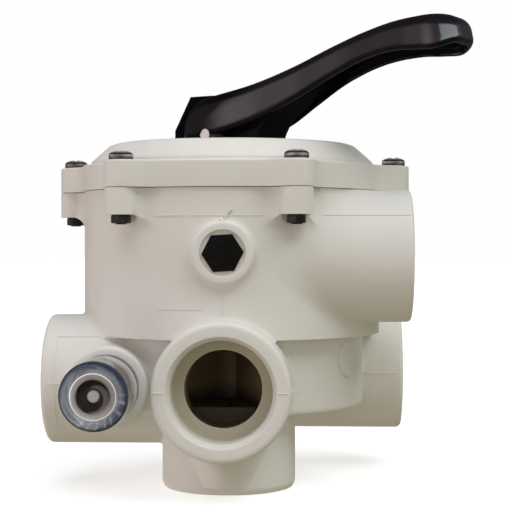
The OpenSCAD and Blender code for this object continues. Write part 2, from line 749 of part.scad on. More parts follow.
// Outlines of the handle in its own plane: along the lever from the pin, and up from the pin
function reversed(list) = [for (i = [len(list) - 1:-1:0]) list[i]];
function rest(list) = [for (i = [1:len(list) - 1]) list[i]];
function heel(angle) = (pin_rise + heel_reach * angle * PI / 180) * [sin(angle), -cos(angle)]
    + heel_reach * [cos(angle), sin(angle)];
function top_curve(drop) = bezier([[0, hub_top - drop],
    [0.32 * tip_top[0], hub_top - drop + (lever_rise - hub_top) / 5],
    [0.64 * tip_top[0], lever_rise - drop + 1], tip_top - [0, drop]], 14);
tip_round = 12;
tip_top = [lever_reach - tip_round, lever_rise];
tip_low = [lever_reach - tip_round / 3, lever_rise - tip_depth];
cheek_low = 0.6 - pin_rise;
cheek_back = 15;
block_top = hub_top + 1.2;
flank_outline = concat(
    [[-cheek_back, 2 - pin_rise], [2 - cheek_back, cheek_low], [1, cheek_low]],
    bezier([[5.5, 0], [0.3 * lever_reach, 9], [0.54 * lever_reach, tip_low[1] - 1], tip_low], 14),
    rest(bezier([tip_low, [lever_reach + 1, tip_low[1] + 3], [lever_reach - 2, lever_rise - 1], tip_top], 5)),
    rest(reversed(top_curve(0))),
    bezier([[-0.5, hub_top - 0.1], [-9, hub_top - 1.5], [-cheek_back, 8], [-cheek_back, 3 - pin_rise]], 7));
hollow_outline = concat([[-2 * cheek_back, -2 * pin_rise], [tip_top[0], -2 * pin_rise]],
    reversed(top_curve(top_wall)), [[-2 * cheek_back, hub_top - top_wall]]);
block_outline = concat([[-pointer_reach, -pin_rise], [0, -pin_rise]],
    [for (i = [0:5]) heel(tilt * i / 4)],
    [[heel_reach + 6, 3], [heel_reach + 7, 10], [heel_reach + 7, hub_top + 3], [0, block_top],
    [10 - pointer_reach, block_top], [-pointer_reach, 4]]);

// Plan of the lever, drawn in by inset: it narrows to the waist and widens to the grip's rounded end
module lever_plan(inset) {
    hub_w = hub_half_w - inset;
    waist_w = waist_half_w - inset;
    tip_w = tip_half_w - inset;
    end = lever_reach - 2 * inset;
    waist = lever_reach / 2;
    grip = end - tip_w;
    side = concat([[-2 * cheek_back, hub_w]],
        bezier([[2, hub_w], [0.36 * waist, hub_w], [0.57 * waist, waist_w], [waist, waist_w]], 8),
        rest(bezier([[waist, waist_w], [1.24 * waist, waist_w], [1.42 * waist, tip_w], [grip, tip_w]], 6)),
        rest(bezier([[grip, tip_w], [grip + 0.6 * tip_w, tip_w], [end, 0.6 * tip_w], [end, 0]], 6)));
    polygon(concat(side, [for (p = reversed(side)) [p[0], -p[1]]]));
}

// Outline in the handle's plane, as wide as 2 * half_w
module across(half_w) {
    rotate([90, 0, 0]) translate([0, 0, -half_w]) linear_extrude(2 * half_w) children();
}

module lever_form(outline, inset) {
    intersection() {
        across(2 * hub_half_w) polygon(outline);
        translate([0, 0, -3 * pin_rise]) linear_extrude(2 * lever_rise) lever_plan(inset);
    }
}

// Handle: hollow lever, and the centre block that holds the tongue and rocks on its heel
module handle() {
    color(black) on_axis() at_pin() difference() {
        union() {
            difference() {
                lever_form(flank_outline, 0);
                lever_form(hollow_outline, flank_wall);
            }
            across(block_half_w) polygon(block_outline);
        }
        translate([-pocket_half_l, -pocket_half_w, -pin_rise - cut])
            cube([2 * pocket_half_l, 2 * pocket_half_w, pin_rise + pocket_top + cut]);
        rotate([90, 0, 0]) translate([0, 0, -2 * hub_half_w])
            cylinder(h = 4 * hub_half_w, r = pin_r + running_gap);
    }
}

module handle_pin() {
    half_l = hub_half_w - loose_gap;
    color(steel) on_axis() at_pin() rotate([90, 0, 0]) translate([0, 0, -half_l])
        cylinder(h = 2 * half_l, r = pin_r);
}

// Label ring on the crown with a bare tick at each position of the handle
module position_label() {
    outer_r = crown_r - label_margin;
    tick_l = label_w / 3;
    color("#c9cdd0") on_axis() difference() {
        washer(crown_z, label_t, outer_r - label_w, outer_r);
        for (i = [0:chamber_count - 1])
            facing(handle_angle + i * chamber_step)
                translate([outer_r - 1.5 * tick_l, -tick_w / 2, crown_z - cut])
                    cube([tick_l, tick_w, 3 * cut]);
    }
}

// Sight glass: clear cup, open toward the waste port, with a pip in its end
module sight_glass() {
    face = sight_boss_reach;
    end = face + glass_len;
    recess = end - glass_recess_h;
    pip = end - pip_drop;
    color("#d5e6f2", 0.5) on_axis() at_sight() rotate_extrude() polygon(concat(
        [[glass_bore_r, face - spigot_len], [spigot_r, face - spigot_len], [spigot_r, face],
        [glass_r, face]],
        arc([glass_r - glass_edge_r, end - glass_edge_r], glass_edge_r, 0, 90, 5),
        [[glass_recess_r, end], [glass_recess_r, recess], [glass_pip_r, recess], [glass_pip_r, pip],
        [0, pip], [0, end - glass_end], [glass_bore_r, end - glass_end]]));
}

module sight_glass_o_ring() {
    color(rubber) on_axis() at_sight()
        seal(spigot_r + loose_gap / 2 + small_seal_r, small_seal_r, sight_boss_reach - small_seal_r);
}

// Gauge plug: hexagon flush in its boss, on a short shank
module gauge_plug() {
    head_z = gauge_face - plug_head_h;
    shank_z = cup_in_r + cut;
    color(black) on_axis() at_gauge() {
        translate([0, 0, head_z]) cylinder(h = plug_head_h, r = plug_af / 2 / cos(30), $fn = 6);
        translate([0, 0, shank_z]) cylinder(h = head_z - shank_z + cut, r = plug_shank_r);
    }
}

module gauge_plug_o_ring() {
    color(rubber) on_axis() at_gauge()
        seal(plug_shank_r + loose_gap / 2 + small_seal_r, small_seal_r, gauge_floor + small_seal_r);
}

valve_body();
cover();
cover_o_ring();
cover_screws();
cover_nuts();
spider_gasket();
rotor();
stem_o_ring_lower();
stem_o_ring_upper();
spring();
spring_washer_lower();
spring_washer_upper();
handle_thrust_ring();
handle();
handle_pin();
position_label();
sight_glass();
sight_glass_o_ring();
gauge_plug();
gauge_plug_o_ring();
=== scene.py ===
import math
import bpy
import numpy as np
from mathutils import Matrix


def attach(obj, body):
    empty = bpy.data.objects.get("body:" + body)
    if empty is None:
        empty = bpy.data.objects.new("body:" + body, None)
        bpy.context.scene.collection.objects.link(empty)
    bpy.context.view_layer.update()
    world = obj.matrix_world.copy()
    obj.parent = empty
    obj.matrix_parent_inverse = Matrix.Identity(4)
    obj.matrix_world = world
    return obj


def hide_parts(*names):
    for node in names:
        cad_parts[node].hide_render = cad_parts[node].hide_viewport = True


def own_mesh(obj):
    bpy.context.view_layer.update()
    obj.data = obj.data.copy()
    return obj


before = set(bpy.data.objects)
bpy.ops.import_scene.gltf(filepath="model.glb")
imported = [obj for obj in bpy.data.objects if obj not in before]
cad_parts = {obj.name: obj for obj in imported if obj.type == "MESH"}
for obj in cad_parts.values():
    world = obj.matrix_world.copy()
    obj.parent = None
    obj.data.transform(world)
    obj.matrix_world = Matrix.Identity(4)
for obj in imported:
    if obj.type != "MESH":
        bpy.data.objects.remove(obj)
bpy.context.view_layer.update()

# Body: one injection moulding in off-white ABS, a cup over a narrower drum, with five pipe sockets, a boss for
# the pressure gauge, one for the sight glass and six lugs. All of it runs together in moulded fillets.
# Lengths are in millimetres, heights from the mouth of the bottom port, and +Y goes away from the front port.
AXIS_Y = 30.0                                                          # the rotor's axis
CUP_R, CUP_LOW, RIM_Z, CUP_BORE, CUP_FLOOR = 78.0, 76.5, 150.2, 72.0, 82.5
DRUM_R, DRUM_LOW, DRUM_EDGE = 69.0, 38.5, 2.4
CHAMBER_R, CHAMBER_LOW, HUB_R, RIB_TURN, RIB_HALF = 63.0, 42.5, 16.0, 20.0, 2.5
PORT_R, BOTTOM_R, SOCKET_R, WATER_R, SOCKET_DEPTH, HIGH_DEPTH = 33.0, 33.8, 24.15, 18.75, 20.0, 18.5
LOW_Z, HIGH_Z = 53.5, 116.7
FRONT_FACE, LEFT_FACE, RIGHT_FACE, HIGH_FACE = 97.0, 92.3, 91.6, 91.8  # mouths, from the rotor's axis
LEFT_SIDE, RIGHT_SIDE, HIGH_SIDE = -24.0, 42.5, -39.0                  # ports' axes, behind the rotor's axis
GAUGE_Z, GAUGE_R, GAUGE_FACE, GAUGE_ROOT, GAUGE_TAP, GAUGE_SINK, SINK_DEEP = 118.5, 15.2, 83.0, 60.0, 6.8, 12.0, 4.5
SIGHT_X, SIGHT_Z, SIGHT_R, SIGHT_FACE, SIGHT_ROOT = -57.5, 53.0, 20.0, 68.0, 43.0
PASSAGE_R, PASSAGE_END, SPIGOT_R, SPIGOT_DEEP, GROOVE_R, GROOVE_DEEP = 8.5, 24.0, 14.2, 9.8, 16.2, 2.0
SCREW_ANGLE, SCREW_CIRCLE, LUG_R, LUG_WEB, LUG_ROOT, LUG_LOW, LUG_FILLET = 24.2, 85.5, 8.0, 7.5, 12.0, 137.0, 8.0
SCREW_HOLE, HOLE_LOW, NUT_ROOM, ROOM_LOW, BOTTOM_WAY = 3.3, 130.0, 7.0, 128.0, 27.0
ROOT_ROUND, GAUGE_FILLET, SIGHT_FILLET, BOTTOM_FILLET = 7.0, 2.4, 3.0, 2.2
SWEEP_W, SWEEP_FROM, SWEEP_RUN, SWEEP_R = 27.0, 48.0, 16.0, 30.0       # wide fillet under the front port
MOUTH_L, MOUTH_CUT, TUCK, SLACK, SPARE = 12.0, 4.0, 0.12, 1.2, 1.5     # room left for the turned mouths


def join(a, b, r):
    """Two solids run together: where both surfaces are nearer than r, the corner becomes an arc of radius r."""
    return np.maximum(r, np.minimum(a, b)) - np.hypot(np.maximum(r - a, 0), np.maximum(r - b, 0))


def trim(a, b, r):
    """What two solids have in common, with the edge between their surfaces rounded to radius r."""
    return np.minimum(-r, np.maximum(a, b)) + np.hypot(np.maximum(r + a, 0), np.maximum(r + b, 0))


def about_screw(x, yv):
    """Distance outward and sideways from the nearest of six screws, by folding the angle into one sixth."""
    turn = np.arctan2(x, -yv) - math.radians(SCREW_ANGLE)
    turn = (turn + math.pi / 6) % (math.pi / 3) - math.pi / 6
    rho = np.hypot(x, yv)
    return rho * np.cos(turn) - SCREW_CIRCLE, rho * np.sin(turn)


def lug_plan(x, yv):
    """Distance in plan from the round boss about each screw and the web that joins it to the wall."""
    out, side = about_screw(x, yv)
    web = np.maximum(np.abs(side) - LUG_WEB, np.maximum(out, -LUG_ROOT - out))
    return np.minimum(np.hypot(out, side) - LUG_R, web)


def body_field(x, y, z):
    """Signed distance from the body: revolved cup and drum, joined to a cylinder for each port and boss with a
    fillet, then cut by the hollow of the cup, six chambers between ribs, and every socket and bore."""
    yv = y - AXIS_Y
    rho = np.hypot(x, yv)
    # Each port: distances from its axis and along it, its mouth, root, waterway's end, socket depth and fillet.
    ports = [(np.hypot(x, z - LOW_Z), -yv, FRONT_FACE, 52.0, 58.0, SOCKET_DEPTH, 2.2),
             (np.hypot(yv - LEFT_SIDE, z - LOW_Z), -x, LEFT_FACE, 28.5, 54.0, SOCKET_DEPTH, 2.5),
             (np.hypot(yv - RIGHT_SIDE, z - LOW_Z), x, RIGHT_FACE, 26.0, 39.0, SOCKET_DEPTH, 2.5),
             (np.hypot(yv - HIGH_SIDE, z - HIGH_Z), x, HIGH_FACE, 21.0, 27.0, HIGH_DEPTH, 4.0)]
    solid = np.maximum.reduce([rho - CUP_R, CUP_LOW - z, z - RIM_Z - 5])
    solid = np.minimum(solid, np.maximum(trim(rho - DRUM_R, DRUM_LOW - z, DRUM_EDGE), z - CUP_FLOOR + 0.5))
    for across, along, face, root, _, _, fillet in ports:
        draw = PORT_R - TUCK * np.clip((along - face + MOUTH_L) / 6, 0, 1)
        barrel = np.maximum(trim(across - draw, root - along, ROOT_ROUND), along - face + MOUTH_CUT)
        solid = join(solid, barrel, fillet)
    bottom = np.hypot(x, y)
    sweep = np.clip(1 - (x / SWEEP_W) ** 2, 0, 1) ** 2 * np.clip((-yv - SWEEP_FROM) / SWEEP_RUN, 0, 1)
    draw = BOTTOM_R - TUCK * np.clip((MOUTH_L - z) / 6, 0, 1)
    solid = join(solid, np.maximum(bottom - draw, z - DRUM_LOW - 2.5), BOTTOM_FILLET + SWEEP_R * sweep)
    solid = np.maximum(solid, MOUTH_CUT - z)
    gauge = np.hypot(x, z - GAUGE_Z)
    boss = np.maximum.reduce([gauge - GAUGE_R + 0.1, -yv - GAUGE_FACE + 3, GAUGE_ROOT + yv])
    solid = join(solid, boss, GAUGE_FILLET)
    sight = np.hypot(x - SIGHT_X, z - SIGHT_Z)
    boss = np.maximum.reduce([sight - SIGHT_R + 0.1, -yv - SIGHT_FACE + 3, SIGHT_ROOT + yv])
    solid = join(solid, boss, SIGHT_FILLET)
    solid = join(solid, np.maximum(lug_plan(x, yv), LUG_LOW - z), LUG_FILLET)
    solid = np.maximum(solid, z - RIM_Z + TUCK)

    fold = (np.arctan2(x, -yv) - math.radians(RIB_TURN) + math.pi / 6) % (math.pi / 3) - math.pi / 6
    rib = RIB_HALF - rho * np.abs(np.sin(fold))
    screw = np.hypot(*about_screw(x, yv))
    socket_end = SOCKET_DEPTH + SPARE
    cuts = [trim(rho - CUP_BORE, CUP_FLOOR - z, 1.5),
            np.maximum.reduce([rho - CHAMBER_R, HUB_R - rho, CHAMBER_LOW - z, z - CUP_FLOOR - SPARE, rib]),
            np.maximum(bottom - SOCKET_R - SLACK, z - socket_end), np.maximum(bottom - WATER_R, z - DRUM_LOW),
            np.maximum.reduce([bottom - BOTTOM_WAY, socket_end - z, z - CHAMBER_LOW - 2.5, rib + 3, HUB_R - rho, -x]),
            np.maximum(gauge - GAUGE_SINK, yv + GAUGE_FACE - SINK_DEEP),
            np.maximum(gauge - GAUGE_TAP, yv + GAUGE_ROOT),
            np.maximum(sight - PASSAGE_R, yv + PASSAGE_END),
            np.maximum(sight - SPIGOT_R, yv + SIGHT_FACE - SPIGOT_DEEP),
            np.maximum(sight - GROOVE_R, yv + SIGHT_FACE - GROOVE_DEEP),
            np.maximum(screw - SCREW_HOLE, HOLE_LOW - z),
            np.maximum.reduce([screw - NUT_ROOM, ROOM_LOW - z, z - LUG_LOW])]
    for across, along, face, _, way, depth, _ in ports:
        cuts.append(np.maximum(across - SOCKET_R - SLACK, face - depth - SPARE - along))
        cuts.append(np.maximum(across - WATER_R, way - along))
    return np.maximum(solid, -np.minimum.reduce(cuts))


def skin(field, low, high, cell):
    """Closed surface where a field of x, y, z is zero. Each grid cell that it crosses gets one vertex, the point
    nearest to the tangent planes at the crossings of its edges, and each crossed edge one quad."""
    probe, hold, most = 0.04, 0.02, 0.75 * cell
    axes = [np.arange(a - 2 * cell, b + 3 * cell, cell) for a, b in zip(low, high)]
    slabs = np.array_split(axes[0], max(1, len(axes[0]) // 12))
    value = np.concatenate([field(*np.meshgrid(slab, axes[1], axes[2], indexing="ij")) for slab in slabs])
    origin, size = np.array([a[0] for a in axes]), np.array(value.shape)
    points, normals, quads = [], [], []
    for k in range(3):
        step, u, v = np.eye(3, dtype=int)[[k, (k + 1) % 3, (k + 2) % 3]]
        first = np.argwhere(np.diff(value < 0, axis=k))
        start, v_low, v_high = origin + cell * first, value[tuple(first.T)], value[tuple((first + step).T)]
        inward, t_low, t_high = v_low < 0, np.zeros(len(first)), np.ones(len(first))
        for _ in range(4):
            t = t_low + (t_high - t_low) * v_low / (v_low - v_high)
            v_mid = field(*(start + cell * t[:, None] * step).T)
            near = (v_mid < 0) == inward
            t_low, v_low = np.where(near, t, t_low), np.where(near, v_mid, v_low)
            t_high, v_high = np.where(near, t_high, t), np.where(near, v_high, v_mid)
        point = start + cell * t[:, None] * step
        slope = np.stack([field(*(point + d).T) - field(*(point - d).T) for d in probe * np.eye(3)], 1)
        points.append(point)
        normals.append(slope / np.maximum(np.linalg.norm(slope, axis=1), 1e-9)[:, None])
        ring = np.stack([np.ravel_multi_index((first - a * u - b * v).T, size)
                         for a, b in ((1, 1), (0, 1), (0, 0), (1, 0))], 1)
        quads.append(np.where(inward[:, None], ring, ring[:, ::-1]))
    faces = np.unique(np.concatenate(quads), return_inverse=True)[1].reshape(-1, 4)
    owner = faces.ravel()
    point, normal = np.repeat(np.concatenate(points), 4, 0), np.repeat(np.concatenate(normals), 4, 0)
    count = np.bincount(owner)[:, None]
    mean = np.stack([np.bincount(owner, column) for column in point.T], 1) / count
    offset = np.einsum("ij,ij->i", normal, point - mean[owner])
    pull = np.stack([np.bincount(owner, n * offset) for n in normal.T], 1)
    spread = np.stack([[np.bincount(owner, a * b) for b in normal.T] for a in normal.T]).transpose(2, 0, 1)
    move = np.linalg.solve(spread + hold * np.eye(3), pull[..., None])[..., 0]
    return mean + np.clip(move, -most, most), faces.tolist()


def piece(name, vertices, faces, material, body, slot, sharp=50, replaces=()):
    """Puts millimetre vertices and faces into a mesh object in metres, shaded smooth up to an edge's angle."""
    mesh = bpy.data.meshes.new(name)
    mesh.from_pydata(np.asarray(vertices) / 1000, [], faces)
    mesh.validate()
    mesh.shade_smooth()
    mesh.set_sharp_from_angle(angle=math.radians(sharp))
    made = bpy.data.objects.new(name, mesh)
    bpy.context.scene.collection.objects.link(made)
    mesh.materials.append(material)
    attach(made, body)
    if replaces:
        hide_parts(*replaces)
    return made


class Shade:
    """One output of a material's node tree. Arithmetic on it adds Math nodes to that tree."""

    def __init__(self, tree, socket=None):
        self.tree, self.socket = tree, socket

    def node(self, kind, settings, sockets, output=0):
        """Adds a node of that type, sets its settings, then fills its sockets with values or links."""
        made = self.tree.nodes.new("ShaderNode" + kind)
        for name, value in settings.items():
            if name == "stops":
                while len(made.color_ramp.elements) < len(value):
                    made.color_ramp.elements.new(0.5)
                for stop, (place, colour) in zip(made.color_ramp.elements, value):
                    stop.position, stop.color = place, colour
            else:
                setattr(made, name, value)
        for name, value in sockets.items():
            if isinstance(value, Shade):
                self.tree.links.new(value.socket, made.inputs[name])
            else:
                made.inputs[name].default_value = value
        return Shade(self.tree, made.outputs[output])

    def math(self, operation, a, b=0.0):
        """One Math node on one or two values."""
        return self.node("Math", {"operation": operation}, {0: a, 1: b})

    def __add__(self, other):
        return self.math("ADD", self, other)

    def __sub__(self, other):
        return self.math("SUBTRACT", self, other)

    def __rsub__(self, other):
        return self.math("SUBTRACT", other, self)

    def __mul__(self, other):
        return self.math("MULTIPLY", self, other)

    def __truediv__(self, other):
        return self.math("DIVIDE", self, other)

    def __rtruediv__(self, other):
        return self.math("DIVIDE", other, self)

    def __pow__(self, other):
        return self.math("POWER", self, other)

    def __rpow__(self, other):
        return self.math("POWER", other, self)

    __radd__, __rmul__ = __add__, __mul__

    def clamp(self, low, high):
        """The value, held between two limits."""
        return self.math("MINIMUM", self.math("MAXIMUM", self, low), high)

    def between(self, low, high):
        """Zero below low, one above high and a smooth rise between them."""
        return self.node("MapRange", {"interpolation_type": "SMOOTHSTEP"},
                         {"Value": self, "From Min": low, "From Max": high})


def finish(name, sockets):
    """New material: its shader sockets, a start for its nodes, and the object's own coordinates."""
    material = bpy.data.materials.new(name)
    material.use_nodes = True
    shader = material.node_tree.nodes["Principled BSDF"]
    for socket_name, value in sockets.items():
        shader.inputs[socket_name].default_value = value
    start = Shade(material.node_tree)
    return material, shader, start, start.node("TexCoord", {}, {}, "Object")


def feed(shade, shader, **links):
    """Links shaded values to the shader's sockets, whose spaces are written as underlines."""
    for name, value in links.items():
        shade.tree.links.new(value.socket, shader.inputs[name.replace("_", " ")])


def noise(shade, place, scale, detail=3.0, rough=0.5):
    """Cloudy value from 0 to 1 whose lumps are about 1/scale metres across."""
    return shade.node("TexNoise", {}, {"Vector": place, "Scale": scale, "Detail": detail, "Roughness": rough})


def drawn_out(shade, place, scale, turn=0.0):
    """Place stretched along the axes, and turned about the upright one, for noise that runs in streaks."""
    return shade.node("Mapping", {}, {"Vector": place, "Rotation": (0, 0, turn), "Scale": scale})


def tint(shade, factor, first, second):
    """Colour between two colours, each given as numbers or as a shaded value."""
    first, second = (c if isinstance(c, Shade) else (*c, 1) for c in (first, second))
    return shade.node("Mix", {"data_type": "RGBA"}, {"Factor": factor, 6: first, 7: second}, 2)


def bump(shade, height, strength, distance):
    """Normal bent by a height, whose full step is distance metres."""
    return shade.node("Bump", {}, {"Height": height, "Strength": strength, "Distance": distance})


def parts_of(shade, place, axes):
    """The named coordinates of a place, in metres, each as a value."""
    return [shade.node("SeparateXYZ", {}, {"Vector": place}, axis) for axis in axes]


def within(u, v, radius, soft=0.001):
    """One inside a cylinder and zero outside it, from the two distances across its axis."""
    return (radius - (u * u + v * v) ** 0.5).between(0, soft)


def slab(value, low, high, soft=0.001):
    """One between two planes and zero beyond them."""
    return (value - low).between(0, soft) * (high - value).between(0, soft)


def net(rows, columns, closed=False):
    """Faces of a grid of points whose columns run round: quads, and where the rows don't run round as well, a cap
    at each end."""
    i, j = np.meshgrid(np.arange(rows if closed else rows - 1), np.arange(columns), indexing="ij")
    below, beside = (i + 1) % rows * columns, (j + 1) % columns
    quads = np.stack([i * columns + j, below + j, below + beside, i * columns + beside], -1).reshape(-1, 4)
    ends = [list(range(columns)), list(range((rows - 1) * columns, rows * columns))[::-1]]
    return quads.tolist() if closed else quads.tolist() + ends


def full_turn(count):
    """Angles of equal steps round a circle."""
    return 2 * math.pi * np.arange(count) / count


def turned(radius, height, spokes, ring=False):
    """Profile of radii and heights carried round the Z axis, as a closed ring or with both ends capped. Either
    may be an array that also varies with the angle."""
    turn = full_turn(spokes)
    radius, height = np.broadcast_arrays(radius, height)
    if radius.ndim == 1:
        radius, height = radius[:, None] + 0 * turn, height[:, None] + 0 * turn
    points = np.stack([radius * np.cos(turn), radius * np.sin(turn), height], -1)
    return points.reshape(-1, 3), net(len(radius), spokes, ring)


def softened(corners, radii, steps=6):
    """Outline of radii and heights whose inner corners are rounded by quadratic curves, each to its own radius."""
    corners = np.asarray(corners, float)
    made, t = [corners[0]], np.linspace(0, 1, steps)[:, None]
    for before, corner, after, radius in zip(corners[:-2], corners[1:-1], corners[2:], radii):
        back, ahead = before - corner, after - corner
        a, b = np.linalg.norm(back), np.linalg.norm(ahead)
        r = min(radius, 0.45 * a, 0.45 * b)
        start, end = corner + back / a * r, corner + ahead / b * r
        made += list((1 - t) ** 2 * start + 2 * t * (1 - t) * corner + t * t * end)
    return np.array(made + [corners[-1]])


def together(pieces):
    """Several vertex and face lists as one."""
    points, faces, start = [], [], 0
    for some, quads in pieces:
        points.append(some)
        faces += [[start + i for i in face] for face in quads]
        start += len(some)
    return np.concatenate(points), faces


def facing(points, way, at):
    """Points made about the Z axis, turned so that +Z goes the given way, then moved to a place."""
    ways = {"front": [(1, 0, 0), (0, 0, 1), (0, -1, 0)], "left": [(0, -1, 0), (0, 0, 1), (-1, 0, 0)],
            "right": [(0, 1, 0), (0, 0, 1), (1, 0, 0)], "down": [(1, 0, 0), (0, -1, 0), (0, 0, -1)]}
    return points @ np.array(ways[way]) + at


abs_white, shader, s, place = finish("white_abs", {"Specular IOR Level": 0.45, "IOR": 1.5})
clouds, grain = noise(s, place, 26.0, 4.0), noise(s, place, 900.0, 2.0)
flow = noise(s, drawn_out(s, place, (18.0, 18.0, 60.0)), 1.0, 3.0)
specks = noise(s, place, 420.0, 1.0).between(0.78, 0.84)
colour = tint(s, clouds.between(0.3, 0.7), (0.80, 0.785, 0.72), (0.845, 0.835, 0.78))
colour = tint(s, specks * 0.25, colour, (0.45, 0.42, 0.36))
x, y, z = parts_of(s, place, "XYZ")
above = z - LOW_Z / 1000
# Painted shade inside: the chambers, the waterways of the bottom and front ports and the sight glass's passage are
# painted dark, darkest low down.
chambers = within(x, y - AXIS_Y / 1000, 0.066, 0.004) * slab(z, 0.041, 0.084)
below = within(x, y, 0.029) * slab(z, 0.0205, 0.05)
front_way = within(x, above, 0.0203) * slab(y, -0.0466, 0.0)
passage = within(x - SIGHT_X / 1000, z - SIGHT_Z / 1000, 0.0145) * slab(y, -0.0365, 0.026)
# Painted shade deep in the front socket: its inner wall and shoulder are tinted a darker yellow.
painted_socket_shade = within(x, above, 0.0246, 0.0005) * (y + 0.058).between(0, 0.0105) * (0.0 - y).between(0, 0.001)
colour = tint(s, painted_socket_shade * 0.85, colour, (0.52, 0.47, 0.34))
painted_inner_shade = tint(s, (z - 0.0415).between(0.0, 0.012), (0.085, 0.067, 0.042), (0.36, 0.275, 0.16))
colour = tint(s, (chambers + below + front_way + passage).clamp(0, 1), colour, painted_inner_shade)
feed(s, shader, Base_Color=colour, Roughness=0.34 + clouds * 0.1 + grain * 0.06,
     Normal=bump(s, grain * 0.25 + flow, 0.22, 0.0002))
points, faces = skin(body_field, (-94, -67, 0), (94, 118, RIM_Z), 1.65)
piece("body_moulding", points, faces, abs_white, "housing", "white_abs", replaces=["valve_body"])
mouths = []
for way, at, outer, edge, depth in (("front", (0, AXIS_Y - FRONT_FACE, LOW_Z), PORT_R, 4.6, SOCKET_DEPTH),
                                    ("left", (-LEFT_FACE, AXIS_Y + LEFT_SIDE, LOW_Z), PORT_R, 4.8, SOCKET_DEPTH),
                                    ("right", (RIGHT_FACE, AXIS_Y + RIGHT_SIDE, LOW_Z), PORT_R, 4.8, SOCKET_DEPTH),
                                    ("right", (HIGH_FACE, AXIS_Y + HIGH_SIDE, HIGH_Z), PORT_R, 2.4, HIGH_DEPTH),
                                    ("down", (0, 0, 0), BOTTOM_R, 0.7, SOCKET_DEPTH)):
    rim = [(outer - 1.3, 0), (outer, -2.6)] if way == "down" else [(outer, 0)]
    back = -depth - 3
    outline = softened([(22, back), (WATER_R - 0.05, back), (WATER_R - 0.05, -depth), (SOCKET_R, -depth),
                        (SOCKET_R, -4), (SOCKET_R + 1.9, -0.2), (SOCKET_R + 2.2, 0), *rim,
                        (outer, -MOUTH_L), (29, -MOUTH_L - 0.5), (29, back), (22.5, back)],
                       [0.1, 0.6, 0.8, 0.8, 0.2, 0.2, *len(rim) * [edge], 0.1, 0.1, 0.1])
    points, faces = turned(*outline.T, 200, True)
    mouths.append((facing(points, way, at), faces))
boss = softened([(8, -6), (7, -6), (7, -1.5), (11, -1.5), (11, 0), (GAUGE_R, 0), (GAUGE_R, -8),
                 (GAUGE_R - 1.5, -8.5), (GAUGE_R - 1.5, -6), (8.5, -6)],
                [0.1, 0.1, 0.1, 0.5, 3.2, 0.1, 0.1, 0.1])
seat = softened([(16, -6), (15, -6), (15, 0), (SIGHT_R, 0), (SIGHT_R, -8), (SIGHT_R - 1.5, -8.5),
                 (SIGHT_R - 1.5, -6), (16.5, -6)], [0.1, 0.1, 2.6, 0.1, 0.1, 0.1])
gauge_at, sight_at = (0, AXIS_Y - GAUGE_FACE, GAUGE_Z), (SIGHT_X, AXIS_Y - SIGHT_FACE, SIGHT_Z)
for outline, at in ((boss, gauge_at), (seat, sight_at)):
    points, faces = turned(*outline.T, 160, True)
    mouths.append((facing(points, "front", at), faces))
piece("socket_mouths", *together(mouths), abs_white, "housing", "white_abs", sharp=40)

# Moulding marks on the body: the thin raised lines that the joints of the mould leave on the cup, the ports and
# the drum, the round gate mark, the edge of the raised pad by the sight glass, and a curl of loose flash.
MARK_H, MARK_W, CURL_H = 0.32, 0.8, 0.45
GATE_R, GATE_H, GATE_EDGE, GATE_TURN, GATE_Z = 9.8, 1.2, 1.6, 61.0, 64.4
PAD_X, PAD_TILT, SEAM_Z = -85.0, 44.0, 136.6


def ribbon(path, normal, width, height):
    """Low ridge along a path on a surface: four points across, feet sunk below the surface and a flat top."""
    side = np.cross(np.gradient(path, axis=0), normal)
    side /= np.linalg.norm(side, axis=1)[:, None]
    section = np.array([(-0.5, -1.2), (-0.28, 1), (0.28, 1), (0.5, -1.2)]) * (width, height)
    points = path[:, None] + section[:, 0, None] * side[:, None] + section[:, 1, None] * normal[:, None]
    return points.reshape(-1, 3), [face[::-1] for face in net(*points.shape[:2])]


def round_axis(radius, turn, z):
    """Points and outward directions on an upright cylinder about the rotor's axis, from angles and heights."""
    turn, z = np.broadcast_arrays(np.radians(turn), np.asarray(z, float))
    out = np.stack([np.sin(turn), -np.cos(turn), 0 * turn], 1)
    return radius * out + np.stack([0 * z, 0 * z + AXIS_Y, z], 1), out


def on_port(axis, side, height, along, tilt):
    """Points and outward directions along a port: axis 0 or 1, its place across, and the angle up from level."""
    along, tilt = np.broadcast_arrays(np.asarray(along, float), np.radians(tilt))
    out = np.zeros((len(along), 3))
    out[:, 1 - axis], out[:, 2] = np.cos(tilt), np.sin(tilt)
    centre = np.zeros((len(along), 3))
    centre[:, axis], centre[:, 1 - axis], centre[:, 2] = along, side, height
    return centre + PORT_R * out, out


def gate_disc(radius, height, turn, z):
    """Round pad on the drum: a polar grid laid on the cylinder, level in the middle and curving down at its edge,
    with one more ring sunk below the surface as its foot."""
    rings, spokes = 24, 72
    out, way = np.meshgrid(np.linspace(0.02, 1, rings) * radius, full_turn(spokes), indexing="ij")
    rise = height * (1 - np.clip((out - radius + GATE_EDGE) / GATE_EDGE, 0, 1) ** 2 * 1.5)
    turns, heights = turn + np.degrees(out / DRUM_R * np.cos(way)).ravel(), z + (out * np.sin(way)).ravel()
    points, normal = round_axis(DRUM_R, turns, heights)
    top, foot = points + rise.ravel()[:, None] * normal, points[-spokes:] - 1.5 * normal[-spokes:]
    return np.concatenate([top, foot]), net(rings + 1, spokes)


